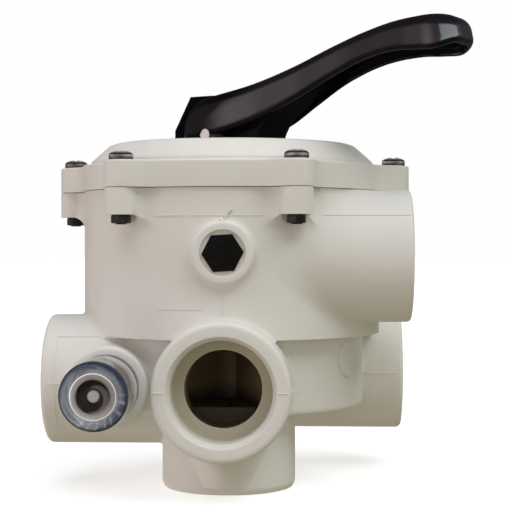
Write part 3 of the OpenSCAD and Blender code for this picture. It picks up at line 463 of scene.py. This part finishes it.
steps = np.linspace(0, 1, 40)
level, left_y = 0 * steps, AXIS_Y + LEFT_SIDE
marks = [round_axis(CUP_R, -42 + 28 * steps, SEAM_Z), round_axis(CUP_R, -12 + 26 * steps, SEAM_Z),
         round_axis(CUP_R, level, 80 + 22 * steps), round_axis(CUP_R, -24 + 17 * steps, 91.5),
         on_port(0, AXIS_Y + HIGH_SIDE, HIGH_Z, 36 + 54 * steps, 180 - 37.5 + level),
         on_port(0, left_y, LOW_Z, -88 + 16 * steps, 180 + level),
         on_port(0, AXIS_Y + RIGHT_SIDE, LOW_Z, 69 + 19 * steps, 180 + level),
         on_port(1, 0, LOW_Z, -62 + 20 * steps, level), on_port(1, 0, LOW_Z, -62 + 20 * steps, 180 + level),
         round_axis(DRUM_R, 27 + 5 * steps, 50)]
for side in (-1, 1):
    face = np.stack([side * (27.2 + 4.2 * steps), level + AXIS_Y - FRONT_FACE, level + LOW_Z], 1)
    marks.append((face, np.tile((0.0, -1.0, 0.0), (len(steps), 1))))
marks += [on_port(0, left_y, LOW_Z, PAD_X + level, 180 - PAD_TILT * (2 * steps - 1)),
          on_port(0, left_y, LOW_Z, PAD_X + 40 * steps, 180 - PAD_TILT + level)]
curl = round_axis(CUP_R + 0.9, 3.4 - 4.6 * steps, 139.0 - 5.2 * steps + 1.1 * np.sin(7 * steps))
points, faces = together([ribbon(*mark, MARK_W, MARK_H) for mark in marks]
                         + [gate_disc(GATE_R, GATE_H, GATE_TURN, GATE_Z), ribbon(*curl, MARK_W, CURL_H)])
piece("moulding_marks", points, faces, abs_white, "housing", "white_abs")

# Seals: the spider gasket under the rotor and the rings of cover, stem and gauge plug, moulded in black rubber
# and pressed into their grooves. Their solids have the right shape, so they stay and get a finish.


def clouded(name, gleam, lumps, dark, light, rough, grain, mix=(0.3, 0.7)):
    """Finish of a plain moulding: two colours mixed by clouds, roughness that starts at a least value and rises
    with the clouds, and a fine grain. Lumps are the clouds' scale and detail, grain its scale and strength."""
    material, shader, s, place = finish(name, {"Specular IOR Level": gleam})
    clouds = noise(s, place, *lumps)
    feed(s, shader, Base_Color=tint(s, clouds.between(*mix), dark, light), Roughness=rough[0] + clouds * rough[1],
         Normal=bump(s, noise(s, place, grain[0], 2.0), grain[1], 0.0001))
    return material


def dress(material, *names):
    """Gives solids that stay in view a finish of their own."""
    for name in names:
        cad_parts[name].data.materials.clear()
        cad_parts[name].data.materials.append(material)


rubber = clouded("seal_rubber", 0.3, (60.0, 4.0), (0.012, 0.012, 0.012), (0.03, 0.03, 0.032), (0.55, 0.25),
                 (1500.0, 0.2), (0.35, 0.75))
dress(rubber, "spider_gasket", "cover_o_ring", "stem_o_ring_lower", "stem_o_ring_upper", "gauge_plug_o_ring")

# Rotor: disc with its stem, moulded in grey plastic and turned by the handle. It lies on the gasket, and only
# its stem shows, inside the cover's bore. Its solid stays.
rotor_grey = clouded("rotor_plastic", 0.4, (35.0, 4.0), (0.10, 0.10, 0.105), (0.15, 0.15, 0.155), (0.35, 0.2),
                     (1100.0, 0.15))
dress(rotor_grey, "rotor")

# Spring: stainless wire wound in seven turns with closed ends, round the cover's guide. It stands on the rotor
# between two slip washers of pale plastic.
SPRING_R, WIRE_R, SPRING_TURNS, SPRING_LOW, SPRING_HIGH = 24.45, 1.8, 7, 93.0, 166.5
CLOSED_END = 0.6
steel, shader, s, place = finish("stainless", {"Metallic": 1.0})
clouds, grain = noise(s, place, 160.0, 4.0), noise(s, place, 2200.0, 2.0)
drawn = noise(s, drawn_out(s, place, (2500.0, 2500.0, 150.0)), 1.0, 2.0)
z, = parts_of(s, place, "Z")
# The screws are of this steel too, with painted shade low down at the thread and the nut, a painted highlight on
# the head's top and a painted reflection in a bright band round its side.
crest = (z - 0.1664).between(0, 0.001)
painted_head_band = slab(z, 0.1647, 0.1664, 0.0005)
colour = tint(s, (z - 0.15).between(0, 0.01), (0.016, 0.014, 0.012), (0.15, 0.14, 0.135))
colour = tint(s, clouds.between(0.3, 0.75) * 0.6, colour, (0.09, 0.085, 0.075))
colour = tint(s, painted_head_band * clouds.between(0.25, 0.6), colour, (0.62, 0.60, 0.57))
feed(s, shader, Base_Color=tint(s, crest, colour, (0.42, 0.40, 0.385)), Metallic=1.0 - crest * 0.9,
     Roughness=0.26 + clouds * 0.22 + drawn * 0.08, Normal=bump(s, drawn + grain * 0.5, 0.15, 0.00008))


def tube(path, radius, sides):
    """Round wire along a path, closed by a cap at each end. Its rings stand square to the path."""
    ahead = np.gradient(path, axis=0)
    ahead /= np.linalg.norm(ahead, axis=1)[:, None]
    across = np.cross(ahead, (0, 0, 1.0))
    across /= np.linalg.norm(across, axis=1)[:, None]
    up = np.cross(across, ahead)
    turn = full_turn(sides)
    points = (path[:, None] + radius * np.cos(turn)[None, :, None] * across[:, None]
              + radius * np.sin(turn)[None, :, None] * up[:, None])
    return points.reshape(-1, 3), net(len(path), sides)


wind = np.linspace(0, 1, SPRING_TURNS * 48 + 1)
rise = np.clip((wind * SPRING_TURNS - CLOSED_END) / (SPRING_TURNS - 2 * CLOSED_END), 0, 1)
rise = 0.06 * wind + 0.94 * rise
coil = np.stack([SPRING_R * np.cos(2 * math.pi * SPRING_TURNS * wind),
                 SPRING_R * np.sin(2 * math.pi * SPRING_TURNS * wind) + AXIS_Y,
                 SPRING_LOW + WIRE_R + (SPRING_HIGH - SPRING_LOW - 2 * WIRE_R) * rise], 1)
spring = piece("wound_spring", *tube(coil, WIRE_R, 12), steel, "lift_stack", "stainless", replaces=["spring"])
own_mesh(spring)
slip = clouded("slip_plastic", 0.4, (80.0, 4.0), (0.55, 0.55, 0.52), (0.66, 0.66, 0.63), (0.3, 0.2), (1400.0, 0.12))
dress(slip, "spring_washer_lower", "spring_washer_upper", "handle_thrust_ring")

# Cover: a second ABS moulding, a flange with six lugs under a shallow cone, a sealed guide for the stem below,
# and a recess for the thrust ring on top. Six screws clamp it to the body.
FLANGE_R, FLANGE_Z, FOOT_R, CROWN_R, CROWN_Z = 79.5, 163.5, 74.6, 64.6, 174.5
GUIDE_R, GUIDE_BORE, GUIDE_LOW, CEILING, WELL_R, WELL_Z, SKIRT_R = 20.05, 14.05, 153.5, 168.0, 31.78, 172.5, 68.0
LUG_BLEND = 15.0
spokes = 1080
turn = full_turn(spokes)
# The edge of the flange and its lugs at each angle, by halving the gap between a radius inside it and one outside.
near, far = np.full(spokes, 70.0), np.full(spokes, 100.0)
for _ in range(40):
    edge = (near + far) / 2
    held = join(edge - FLANGE_R, lug_plan(edge * np.cos(turn), edge * np.sin(turn)), LUG_BLEND) < 0
    near, far = np.where(held, edge, near), np.where(held, far, edge)
corners = [(45, CEILING), (GUIDE_R, CEILING), (GUIDE_R, GUIDE_LOW), (GUIDE_BORE, GUIDE_LOW), (GUIDE_BORE, WELL_Z),
           (WELL_R, WELL_Z), (WELL_R, CROWN_Z), (CROWN_R, CROWN_Z), (FOOT_R, FLANGE_Z + 2), (FOOT_R, FLANGE_Z),
           (FLANGE_R, FLANGE_Z), (FLANGE_R, RIM_Z + TUCK), (SKIRT_R, RIM_Z + TUCK), (SKIRT_R, 158), (58, CEILING),
           (45.5, CEILING)]
outline = softened(corners, [1.5, 0.8, 0.6, 0.1, 0.1, 0.5, 1.8, 1.0, 1.2, 1.2, 0.4, 0.5, 3, 4])
radius = outline[:, :1] + np.where(outline[:, :1] > FLANGE_R - 3, near - FLANGE_R, 0)
points, faces = turned(radius, outline[:, 1:] + 0 * radius, spokes, True)
piece("cover_moulding", points + (0, AXIS_Y, 0), faces, abs_white, "housing", "white_abs", sharp=40,
      replaces=["cover"])

# Cover screws and nuts: stainless pan-head screws with a cross recess and a rolled thread, and hexagon nuts
# pulled up under the body's lugs.
HEAD_R, HEAD_H, HEAD_EDGE, SHANK_R, PITCH, THREAD = 6.0, 4.6, 2.1, 2.95, 1.0, 0.5
CROSS_L, CROSS_W, CROSS_D = 3.1, 0.85, 1.9
NUT_FLAT, NUT_LOW, NUT_TOP, TAIL_Z = 4.4, 132.8, LUG_LOW, 132.3


def six_round(points, faces):
    """The same thing at each of the six screws, turned to face outward."""
    made = []
    for turn in np.radians(SCREW_ANGLE + 60 * np.arange(6)):
        c, s = math.sin(turn), -math.cos(turn)
        spun = points @ np.array([[c, s, 0], [-s, c, 0], [0, 0, 1]])
        made.append((spun + (SCREW_CIRCLE * c, SCREW_CIRCLE * s + AXIS_Y, 0), faces))
    return together(made)


def six_sided(flat, turn):
    """Distance to the edge of a hexagon: half its width over the cosine of the angle from the nearest flat."""
    return flat / np.cos(turn % (math.pi / 3) - math.pi / 6)


spokes = 96
turn = full_turn(spokes)
dome = np.sin(np.linspace(0.02, 1, 22) * math.pi / 2)
head_r = np.concatenate([HEAD_R * dome, [HEAD_R, HEAD_R - 0.25, SHANK_R]])
head_z = np.concatenate([FLANGE_Z + HEAD_EDGE + (HEAD_H - HEAD_EDGE) * np.sqrt(1 - 0.98 * dome ** 2),
                         [FLANGE_Z + 0.3, FLANGE_Z, FLANGE_Z]])
thread_z = np.linspace(NUT_TOP - 0.5, TAIL_Z, 60)
radius = np.concatenate([head_r, [SHANK_R], 0 * thread_z + SHANK_R, [2.2, 0.1]])
height = np.concatenate([head_z, [NUT_TOP], thread_z, [TAIL_Z, TAIL_Z]])
radius, height = radius[:, None] + 0 * turn, height[:, None] + 0 * turn
wave = np.abs((height / PITCH - turn / (2 * math.pi)) % 1 - 0.5) * 2
radius = radius - ((height < NUT_TOP - 0.5) & (radius > 2.5)) * THREAD * wave
px, py = np.abs(radius * np.cos(turn)), np.abs(radius * np.sin(turn))
arm = np.minimum(np.maximum(px / CROSS_L, py / CROSS_W), np.maximum(px / CROSS_W, py / CROSS_L))
height = height - (height > FLANGE_Z + 1) * CROSS_D * np.clip((1.25 - arm) / 0.4, 0, 1)
points, faces = six_round(*turned(radius, height, spokes))
piece("screw_set", points, faces, steel, "housing", "stainless", sharp=35, replaces=["cover_screws"])
flats = six_sided(NUT_FLAT, turn + math.pi / 6)
bore, land = 0 * turn + SHANK_R, 0 * turn + NUT_FLAT * 0.98
fall, top, low = (flats - land) * 0.577, 0 * turn + NUT_TOP, 0 * turn + NUT_LOW
radius = np.stack([bore, land, flats, flats, land, bore])
height = np.stack([top, top, NUT_TOP - fall, NUT_LOW + fall, low, low])
points, faces = six_round(*turned(radius, height, spokes))
piece("nut_set", points, faces, steel, "housing", "stainless", sharp=25, replaces=["cover_nuts"])

# Position label: printed film ring stuck on the cover's crown, round the handle. It has a bare tick at each of
# the six places where the handle stops, between two thin lines.
LABEL_IN, LABEL_OUT, LABEL_T = 40.6, 62.6, 0.3
TICK_HALF, TICK_IN, TICK_OUT = 0.0009, 0.048, 0.0555                   # print, in metres
LINE_HALF, INNER_LINE, OUTER_LINE, INK_EDGE = 0.0006, 0.0445, 0.059, 0.0003
film, shader, s, place = finish("label", {"Specular IOR Level": 0.5})
x, y = parts_of(s, place, "XY")
y = y - AXIS_Y / 1000
rho = (x * x + y * y) ** 0.5
fold = s.math("PINGPONG", s.math("ARCTAN2", y, x) + 7.0 * math.pi / 6.0, math.pi / 6.0)
print_mask = (TICK_HALF - rho * fold).between(0, INK_EDGE) * slab(rho, TICK_IN, TICK_OUT, INK_EDGE)
for line in (INNER_LINE, OUTER_LINE):
    print_mask = print_mask + (LINE_HALF - s.math("ABSOLUTE", rho - line)).between(0, INK_EDGE)
clouds = noise(s, place, 120.0, 3.0)
colour = tint(s, clouds.between(0.3, 0.7), (0.72, 0.72, 0.70), (0.78, 0.78, 0.76))
feed(s, shader, Base_Color=tint(s, print_mask.clamp(0, 1), colour, (0.10, 0.11, 0.13)),
     Roughness=0.22 + clouds * 0.15, Normal=bump(s, noise(s, place, 300.0, 2.0), 0.1, 0.0001))
under, over = CROWN_Z - 0.1, CROWN_Z + LABEL_T
outline = softened([(50, under), (LABEL_IN, under), (LABEL_IN, over), (LABEL_OUT, over), (LABEL_OUT, under),
                    (50.5, under)], 4 * [0.08], 3)
points, faces = turned(*outline.T, 240, True)
piece("label_film", points + (0, AXIS_Y, 0), faces, film, "housing", "label", replaces=["position_label"])

# Handle: glossy black nylon lever, hollow below, with two cheeks at the pin and a solid block between them that
# rocks on its heel. It waists in from the hub and widens again to a rounded grip. The pin is a plain steel bar.
PIN_Z, PIN_HOLE, LEVER_TURN, PIN_RISE, HEEL, REACH, BLOCK_W = 179.5, 2.95, 60.0, 5.3, 20.0, 135.0, 13.5
WALL, RIM_WALL, CHEEK_LOW, BLOCK_TAPER, TAPER_FROM = 5.4, 3.7, 4.7, 0.12, 28.0
TIP_RAKE, TIP_H, TIP_ROUND, BACK, CREST_ROUND, RIM_ROUND, RIM_BAND = 0.2, 44.0, 14.0, 15.0, 5.5, 2.6, 3.4
SLOT_L, SLOT_W, SLOT_H = 12.0, 10.8, 9.6                               # room for the stem's tongue
STATIONS = np.array([-30, 5, 25, 45, 65, 85, 105, 116, 126, 136.0])
HALF_WIDTH = np.array([26.3, 26.2, 22.0, 15.8, 13.2, 14.6, 17.8, 18.4, 18.5, 18.5])
TOP_EDGE = np.array([15, 20.6, 25.6, 33.6, 42.1, 48.3, 52.0, 53.0, 53.5, 53.2])
LOW_EDGE = np.array([-4.7, 0.4, 6.4, 15.8, 26.3, 34.0, 37.0, 36.6, 36.8, 41.5])


def along(s, values):
    """Smooth curve through a value at each station: cubic pieces whose slopes are those of the neighbours."""
    slope = np.gradient(values, STATIONS)
    i = np.clip(np.searchsorted(STATIONS, s) - 1, 0, len(STATIONS) - 2)
    gap = (STATIONS[1:] - STATIONS[:-1])[i]
    t = np.clip((s - STATIONS[i]) / gap, 0, 1)
    return ((1 + 2 * t) * (1 - t) ** 2 * values[i] + t * (1 - t) ** 2 * gap * slope[i]
            + t * t * (3 - 2 * t) * values[i + 1] + t * t * (t - 1) * gap * slope[i + 1])


def inside_polygon(a, b, corners):
    """Signed distance in a plane from a closed outline: the nearest edge, negative where the winding is odd."""
    best, odd = np.full(np.shape(a), 1e9), np.zeros(np.shape(a), bool)
    for (ax, ay), (bx, by) in zip(corners, np.roll(corners, -1, 0)):
        ex, ey = bx - ax, by - ay
        t = np.clip(((a - ax) * ex + (b - ay) * ey) / (ex * ex + ey * ey), 0, 1)
        best = np.minimum(best, np.hypot(a - ax - t * ex, b - ay - t * ey))
        odd ^= ((ay > b) != (by > b)) & (a < ax + (b - ay) * ex / (ey if abs(ey) > 1e-9 else 1e-9))
    return np.where(odd, -best, best)


heel_turn = np.radians(np.linspace(0, 25, 6))
heel_curve = [((PIN_RISE + HEEL * t) * math.sin(t) + HEEL * math.cos(t),
               -(PIN_RISE + HEEL * t) * math.cos(t) + HEEL * math.sin(t)) for t in heel_turn]
BLOCK = np.array([(-28, -PIN_RISE), *heel_curve, (26, 1.5), (28.5, 6), (33, 10), (40, 14.5), (50, 22.5), (62, 35),
                  (62, 40), (0, 21.5), (-18, 21.5), (-28, 4)])


def handle_field(s, w, h):
    """Signed distance from the handle in its own frame: along the lever, across it, and up from the pin. Rounded
    shell between the top and low edges within the plan, open below, joined to the block between the cheeks."""
    w = np.abs(w)
    plan = trim(w - along(s, HALF_WIDTH), 0.97 * (s - REACH + TIP_RAKE * (h - TIP_H)), TIP_ROUND)
    crest = trim(0.9 * (h - along(s, TOP_EDGE)), -BACK - s, BACK)
    shell = trim(plan, crest, CREST_ROUND)
    rim = 0.9 * (along(s, LOW_EDGE) - h)
    outer = trim(shell, np.maximum(rim, -CHEEK_LOW - h), RIM_ROUND)
    hollow = np.minimum(shell + WALL, np.maximum(shell + RIM_WALL, -rim - RIM_BAND))
    lever = trim(outer, -hollow, 0.6)
    narrow = BLOCK_W - BLOCK_TAPER * np.maximum(s - TAPER_FROM, 0)
    block = trim(inside_polygon(s, h, BLOCK), w - narrow, 1.0)
    solid = join(lever, np.where(s > -4, np.maximum(block, shell + 1.5), block), 1.0)
    pocket = np.maximum.reduce([np.abs(s) - SLOT_L, w - SLOT_W, h - SLOT_H])
    return np.maximum(np.maximum(solid, -pocket), PIN_HOLE - np.hypot(s, h))


nylon, shader, s, place = finish("black_plastic", {"Specular IOR Level": 0.06, "Coat IOR": 1.8,
                                                   "Coat Roughness": 0.16})
lead_x, lead_y = math.sin(math.radians(LEVER_TURN)), -math.cos(math.radians(LEVER_TURN))
clouds, grain = noise(s, place, 30.0, 4.0), noise(s, place, 700.0, 2.0)
rubbed = noise(s, drawn_out(s, place, (60.0, 900.0, 900.0), 0.52), 1.0, 3.0)
x, y, up = parts_of(s, place, "XYZ")
y = y - AXIS_Y / 1000
ahead = x * lead_x + y * lead_y
across = s.math("ABSOLUTE", x * -lead_y + y * lead_x)
lean, = parts_of(s, s.node("TexCoord", {}, {}, "Normal"), "Z")


def past(at, run):
    """Zero up to a distance along the lever and one beyond it, with a smooth rise over a run. Both in metres."""
    return (ahead - at).between(0, run)


# Painted shade: the base colour goes nearly black on the block between the cheeks under the lever's roof, and on the
# hub and its shoulder. The same masks raise the roughness and lower the coat there.
roof = (0.195 + ahead * 0.342 - up).between(0, 0.001) + (-0.004 - ahead).between(0, 0.0005)
block_side = 0.0142 - across - (ahead - TAPER_FROM / 1000).clamp(0, 1) * BLOCK_TAPER
painted_block_shade = block_side.between(0, 0.0004) * (0.070 - ahead).between(0, 0.008) * roof.clamp(0, 1)
shoulder = (up - 0.1865 - ahead * 0.4).between(0, 0.009) * (0.034 - ahead).between(0, 0.02)
hub = ((0.016 - ahead).between(0, 0.018) + shoulder).clamp(0, 1)
gloss = 1.0 - 0.95 * hub - 0.62 * past(0.034, 0.022) - 0.2 * past(0.066, 0.016)
gloss = (gloss + 0.15 * past(0.106, 0.008) + 0.65 * past(0.118, 0.006)).clamp(0, 1)
sides = (lean + 0.5).between(0, 0.45) * (1.0 - 0.7 * lean.between(0.3, 0.6))
colour = tint(s, clouds.between(0.3, 0.75), (0.0072, 0.0056, 0.0082), (0.0130, 0.010, 0.0150))
feed(s, shader, Base_Color=tint(s, (painted_block_shade * 0.85 + hub * 0.7).clamp(0, 1), colour, (0.0016, 0.0013, 0.0016)),
     Roughness=0.24 + clouds * 0.10 + rubbed.between(0.62, 0.8) * 0.12 + painted_block_shade * 0.55,
     Normal=bump(s, grain * 0.6 + rubbed * 0.4, 0.08, 0.0001),
     Coat_Weight=sides * (1.0 - 0.95 * painted_block_shade) * gloss)
points, faces = skin(handle_field, (-28, -26.3, -PIN_RISE), (REACH, 26.3, 53), 0.75)
points = points @ np.array([[lead_x, lead_y, 0], [-lead_y, lead_x, 0], [0, 0, 1]]) + (0, AXIS_Y, PIN_Z)
lever = piece("lever", points, faces, nylon, "handle_body", "black_plastic", sharp=55, replaces=["handle"])
bright, shader, s, place = finish("bright_pin", {"Metallic": 1.0})
clouds = noise(s, place, 400.0, 3.0)
feed(s, shader, Base_Color=tint(s, clouds.between(0.3, 0.7), (0.62, 0.58, 0.57), (0.78, 0.75, 0.74)),
     Roughness=0.3 + clouds * 0.2)
dress(bright, "handle_pin")

# Sight glass: thick clear cup, moulded and polished, pushed into its boss against a sealing ring, to show the
# water that goes to waste. Its end is dished round a small pip, and its wall has three turned grooves.
GLASS_R, GLASS_L, SPIGOT, SPIGOT_L, GLASS_BORE, END_T = 16.3, 42.0, 13.9, 9.5, 11.0, 6.0
DISH_R, DISH_D, PIP_R, PIP_D, GLASS_GROOVES = 7.5, 3.0, 2.6, 1.0, (9, 6.5, 4)
clear, shader, s, place = finish("clear_plastic", {"Transmission Weight": 1.0, "IOR": 1.49,
                                                   "Specular IOR Level": 0.5})
clouds = noise(s, place, 90.0, 3.0)
feed(s, shader, Base_Color=tint(s, clouds.between(0.3, 0.7), (0.80, 0.86, 0.92), (0.88, 0.92, 0.96)),
     Roughness=0.015 + clouds.between(0.45, 0.8) * 0.03)
x, y, z = parts_of(s, place, "XYZ")
out, up = x - SIGHT_X / 1000, z - SIGHT_Z / 1000
far = (out * out + up * up) ** 0.5 / (GLASS_R / 1000)
round_pip = s.math("ARCTAN2", up, out)


def toward(turn, low, high):
    """Smooth rise from the side of the glass's end that faces away from an angle to the side at that angle."""
    return s.math("COSINE", round_pip - turn).between(low, high)


# Painted light on the glass's end: an opaque layer over the clear glass carries painted refraction and reflection. It
# shows grey and dark rings round the pip, a beige crescent, a sheen and bright streaks low down, and a dark edge and
# dark bands in the wall. The lip ring glows by emission as a painted highlight.
rings = s.node("ValToRGB", {"stops": [(0.16, (0.50, 0.50, 0.51, 0.95)), (0.19, (0.03, 0.027, 0.025, 0.95)),
                                      (0.47, (0.004, 0.0035, 0.003, 0.97)), (0.53, (0.42, 0.38, 0.36, 0.7)),
                                      (0.63, (0.58, 0.53, 0.51, 0.6)), (0.655, (1.0, 1.0, 1.0, 0.95)),
                                      (0.68, (0.40, 0.43, 0.48, 0.5)), (0.88, (0.13, 0.17, 0.27, 0.6)),
                                      (0.95, (0.018, 0.028, 0.058, 0.88))]}, {"Fac": far})
swirl = s.math("SINE", round_pip + far * 9.0 - 2.2 + clouds)
crescent = (far - 0.2).between(0, 0.06) * (0.53 - far).between(0, 0.05) * swirl.between(0.35, 0.95)
wall = (far - 0.68).between(0, 0.03) * (0.945 - far).between(0, 0.04)
sheen = wall * (s.math("COSINE", round_pip + 2.5) * 0.5 + clouds).between(0.55, 1.0)
edge = (far - 0.78).between(0, 0.09) * toward(0.75, -0.15, 0.7)
painted_streak = s.math("SINE", round_pip * 21.0 + far * 9.0 + clouds * 12.0).between(0.2, 1.0)
painted_dark_band = wall * s.math("SINE", far * 42.0 + round_pip * 2.0 + clouds * 5.0).between(0.5, 1.0)
painted_end_colour = tint(s, crescent * 0.6, rings, (0.36, 0.31, 0.28))
for share, shade in ((sheen * 0.6, (0.52, 0.55, 0.58)), (edge * 0.85, (0.02, 0.03, 0.065)),
                     (wall * painted_streak * toward(-1.1, 0.1, 0.8) * 0.5, (0.80, 0.80, 0.82)),
                     (painted_dark_band * 0.45, (0.07, 0.09, 0.14))):
    painted_end_colour = tint(s, share, painted_end_colour, shade)
lip = s.node("SeparateColor", {}, {"Color": rings}, "Red").between(0.62, 0.95)
lip = lip * (0.15 + 0.85 * toward(2.1, -0.6, 0.5))
painted_end_layer = s.node("BsdfPrincipled", {}, {"Base Color": painted_end_colour, "Roughness": 0.3, "Specular IOR Level": 0.2,
                                      "Emission Strength": 0.4, "Emission Color": tint(s, lip, (0, 0, 0), (1, 1, 1))})
end_wall = (AXIS_Y - SIGHT_FACE - GLASS_L + END_T + 0.2) / 1000
depth = end_wall - y - 0.0036 * far.between(0.86, 0.92)
part = Shade(s.tree, rings.socket.node.outputs["Alpha"]) * depth.between(0, 0.0006)
mixed = s.node("MixShader", {}, {0: part, 1: Shade(s.tree, shader.outputs[0]), 2: painted_end_layer})
s.tree.links.new(mixed.socket, s.tree.nodes["Material Output"].inputs["Surface"])
grooves = [(GLASS_R - dip, ring - down) for ring in GLASS_GROOVES for dip, down in ((0, 0), (0.7, 0.6), (0, 1.2))]
outline = softened([(0.05, GLASS_L - PIP_D), (PIP_R, GLASS_L - PIP_D), (PIP_R, GLASS_L - DISH_D),
                    (DISH_R, GLASS_L - DISH_D), (DISH_R, GLASS_L), (GLASS_R, GLASS_L), *grooves, (GLASS_R, -0.15),
                    (SPIGOT, -0.15), (SPIGOT, -SPIGOT_L), (GLASS_BORE, -SPIGOT_L), (GLASS_BORE, GLASS_L - END_T),
                    (0.05, GLASS_L - END_T)], [0.5, 0.5, 0.8, 0.8, 3.0] + 9 * [0.3] + 7 * [0.6])
points, faces = turned(*outline.T, 240)
piece("sight_cup", facing(points, "front", sight_at), faces, clear, "housing", "clear_plastic", sharp=50,
      replaces=["sight_glass"])

# Seal of the sight glass: a pale silicone ring in the boss's groove, pressed by the glass. It shows through the
# clear wall, and its solid stays.
silicone = clouded("pale_seal", 0.4, (150.0, 3.0), (0.56, 0.54, 0.50), (0.64, 0.62, 0.58), (0.4, 0.2), (1500.0, 0.12))
silicone.node_tree.nodes["Principled BSDF"].inputs["Subsurface Weight"].default_value = 0.1
dress(silicone, "sight_glass_o_ring")

# Gauge plug: hexagon plug moulded in dull black plastic, screwed into the gauge boss where a pressure gauge would
# go. Its head lies level with the boss's face.
PLUG_FLAT, PLUG_HEAD, PLUG_SHANK, PLUG_END, PLUG_TURN, PLUG_UNIT = 8.75, 6.0, 6.5, 10.9, 3.4, 10.0
dull = clouded("dull_black", 0.12, (200.0, 4.0), (0.004, 0.004, 0.004), (0.009, 0.008, 0.008), (0.55, 0.25),
               (1500.0, 0.1))
spokes = 144
turn = full_turn(spokes)
shank = PLUG_SHANK / PLUG_UNIT
outline = softened([(0.05, -0.25), (0.86, -0.1), (0.955, -0.12), (1, -0.7), (1, -PLUG_HEAD), (shank, -PLUG_HEAD),
                    (shank, 1 - PLUG_END), (shank - 0.08, -PLUG_END), (0.05, -PLUG_END)],
                   [0.05, 0.05, 0.2, 0.2, 0.1, 0.2, 0.1])
flats = six_sided(PLUG_FLAT, turn - math.radians(PLUG_TURN))
radius = outline[:, :1] * np.where(outline[:, 1:] > -PLUG_HEAD - 0.01, flats, PLUG_UNIT)
points, faces = turned(radius, outline[:, 1:] + 0 * radius, spokes)
piece("hexagon_plug", facing(points, "front", gauge_at), faces, dull, "housing", "black_plastic", sharp=30,
      replaces=["gauge_plug"])

# Studio: a pale floor that runs into a white card all round, a wide soft light overhead, a weaker skylight from the
# right, a window that only the handle reflects, and a camera where the photograph was taken from. The room is
# pinkish on the left, yellowish on the right and dim behind. Lengths here are in metres.
FLOOR_HALF, FLOOR_Z, CARD_R, CARD_LOW, CARD_H, CARD_SIDES = 30.0, -0.0002, 12.0, -0.1, 12.0, 64
floor_mesh = bpy.data.meshes.new("floor")
floor_mesh.from_pydata([(a * FLOOR_HALF, b * FLOOR_HALF, FLOOR_Z) for a, b in ((-1, -1), (1, -1), (1, 1), (-1, 1))],
                       [], [(0, 1, 2, 3)])
floor = bpy.data.objects.new("floor", floor_mesh)
pale, shader, s, place = finish("pale_floor", {"Roughness": 0.7, "Specular IOR Level": 0.1, "Emission Strength": 1.0})
y, = parts_of(s, place, "Y")
feed(s, shader, Base_Color=tint(s, noise(s, place, 9.0, 2.0), (0.72, 0.72, 0.72), (0.74, 0.74, 0.74)),
     Emission_Color=tint(s, y.between(0.0, 2.5), (0.62, 0.62, 0.62), (0.66, 0.66, 0.66)))
card_mesh = bpy.data.meshes.new("card")
turn = full_turn(CARD_SIDES)
foot = np.stack([CARD_R * np.cos(turn), CARD_R * np.sin(turn), 0 * turn + CARD_LOW], 1)
card_mesh.from_pydata(np.concatenate([foot, foot + (0, 0, CARD_H)]), [], net(2, CARD_SIDES)[:CARD_SIDES])
card = bpy.data.objects.new("card", card_mesh)
white, shader, s, place = finish("white_card", {"Base Color": (0, 0, 0, 1), "Specular IOR Level": 0.0,
                                                "Emission Strength": 1.0})
feed(s, shader, Emission_Color=tint(s, noise(s, place, 0.3, 1.0), (1.0, 1.0, 1.0), (0.99, 0.99, 0.99)))
floor_mesh.materials.append(pale)
card_mesh.materials.append(white)
for made in (floor, card):
    bpy.context.scene.collection.objects.link(made)
    made.visible_diffuse = made.visible_glossy = False
card.visible_transmission = card.visible_shadow = False
world = bpy.data.worlds.new("studio")
bpy.context.scene.world = world
world.use_nodes = True
room = Shade(world.node_tree)
x, y, z = parts_of(room, room.node("TexCoord", {}, {}, "Generated"), "XYZ")
sky = tint(room, x.between(-0.15, -0.85), (0.35, 0.30, 0.30), (1.17, 1.0, 1.0))
sky = tint(room, x.between(0.05, 0.7), sky, (0.85, 0.85, 0.79))
sky = tint(room, y.between(-0.25, 0.7), sky, (0.10, 0.095, 0.095))
sky = tint(room, z.between(0.2, 0.6), sky, (0.07, 0.07, 0.07))
ground = tint(room, x.between(-0.8, -0.05), (0.84, 0.75, 0.71), (0.27, 0.25, 0.17))
sky = tint(room, z.between(-0.25, 0.1), ground, sky)
world.node_tree.links.new(sky.socket, world.node_tree.nodes["Background"].inputs["Color"])


def aimed(name, kind, elevation, bearing, energy, colour):
    """Lamp pointing at the valve from an elevation above the floor and a bearing from the front to the right."""
    lamp = bpy.data.lights.new(name, kind)
    lamp.energy, lamp.color = energy, colour
    made = bpy.data.objects.new(name, lamp)
    made.rotation_euler = (math.radians(90 - elevation), 0, math.radians(bearing))
    bpy.context.scene.collection.objects.link(made)
    return made


overhead = aimed("overhead", "SUN", 75, 25, 2.1, (0.97, 0.99, 1.05))
skylight = aimed("skylight", "SUN", 50, 50, 0.45, (1.0, 1.0, 0.96))
for lamp, spread in ((overhead, 80), (skylight, 30)):
    lamp.visible_glossy = False
    lamp.data.angle = math.radians(spread)
window = aimed("window", "AREA", 8, 50, 3.0, (0.80, 0.93, 1.0))
window.data.shape, window.data.size, window.data.size_y = "RECTANGLE", 1.0, 0.5
window.location = (0.573, -0.421, 0.314)
window.visible_diffuse = False
lit = bpy.data.collections.new("lit_by_window")
lit.objects.link(lever)
window.light_linking.receiver_collection = lit
lens = bpy.data.cameras.new("photo_camera")
lens.sensor_width, lens.lens, lens.shift_y, lens.clip_start = 36, 97.74, -0.0214, 0.05
camera = bpy.data.objects.new("photo_camera", lens)
camera.location, camera.rotation_euler = (0.0415, -0.7070, 0.12275), (math.pi / 2, 0, math.radians(2.28))
bpy.context.scene.collection.objects.link(camera)
bpy.context.scene.camera = camera
bpy.context.scene.view_settings.view_transform = "Standard"
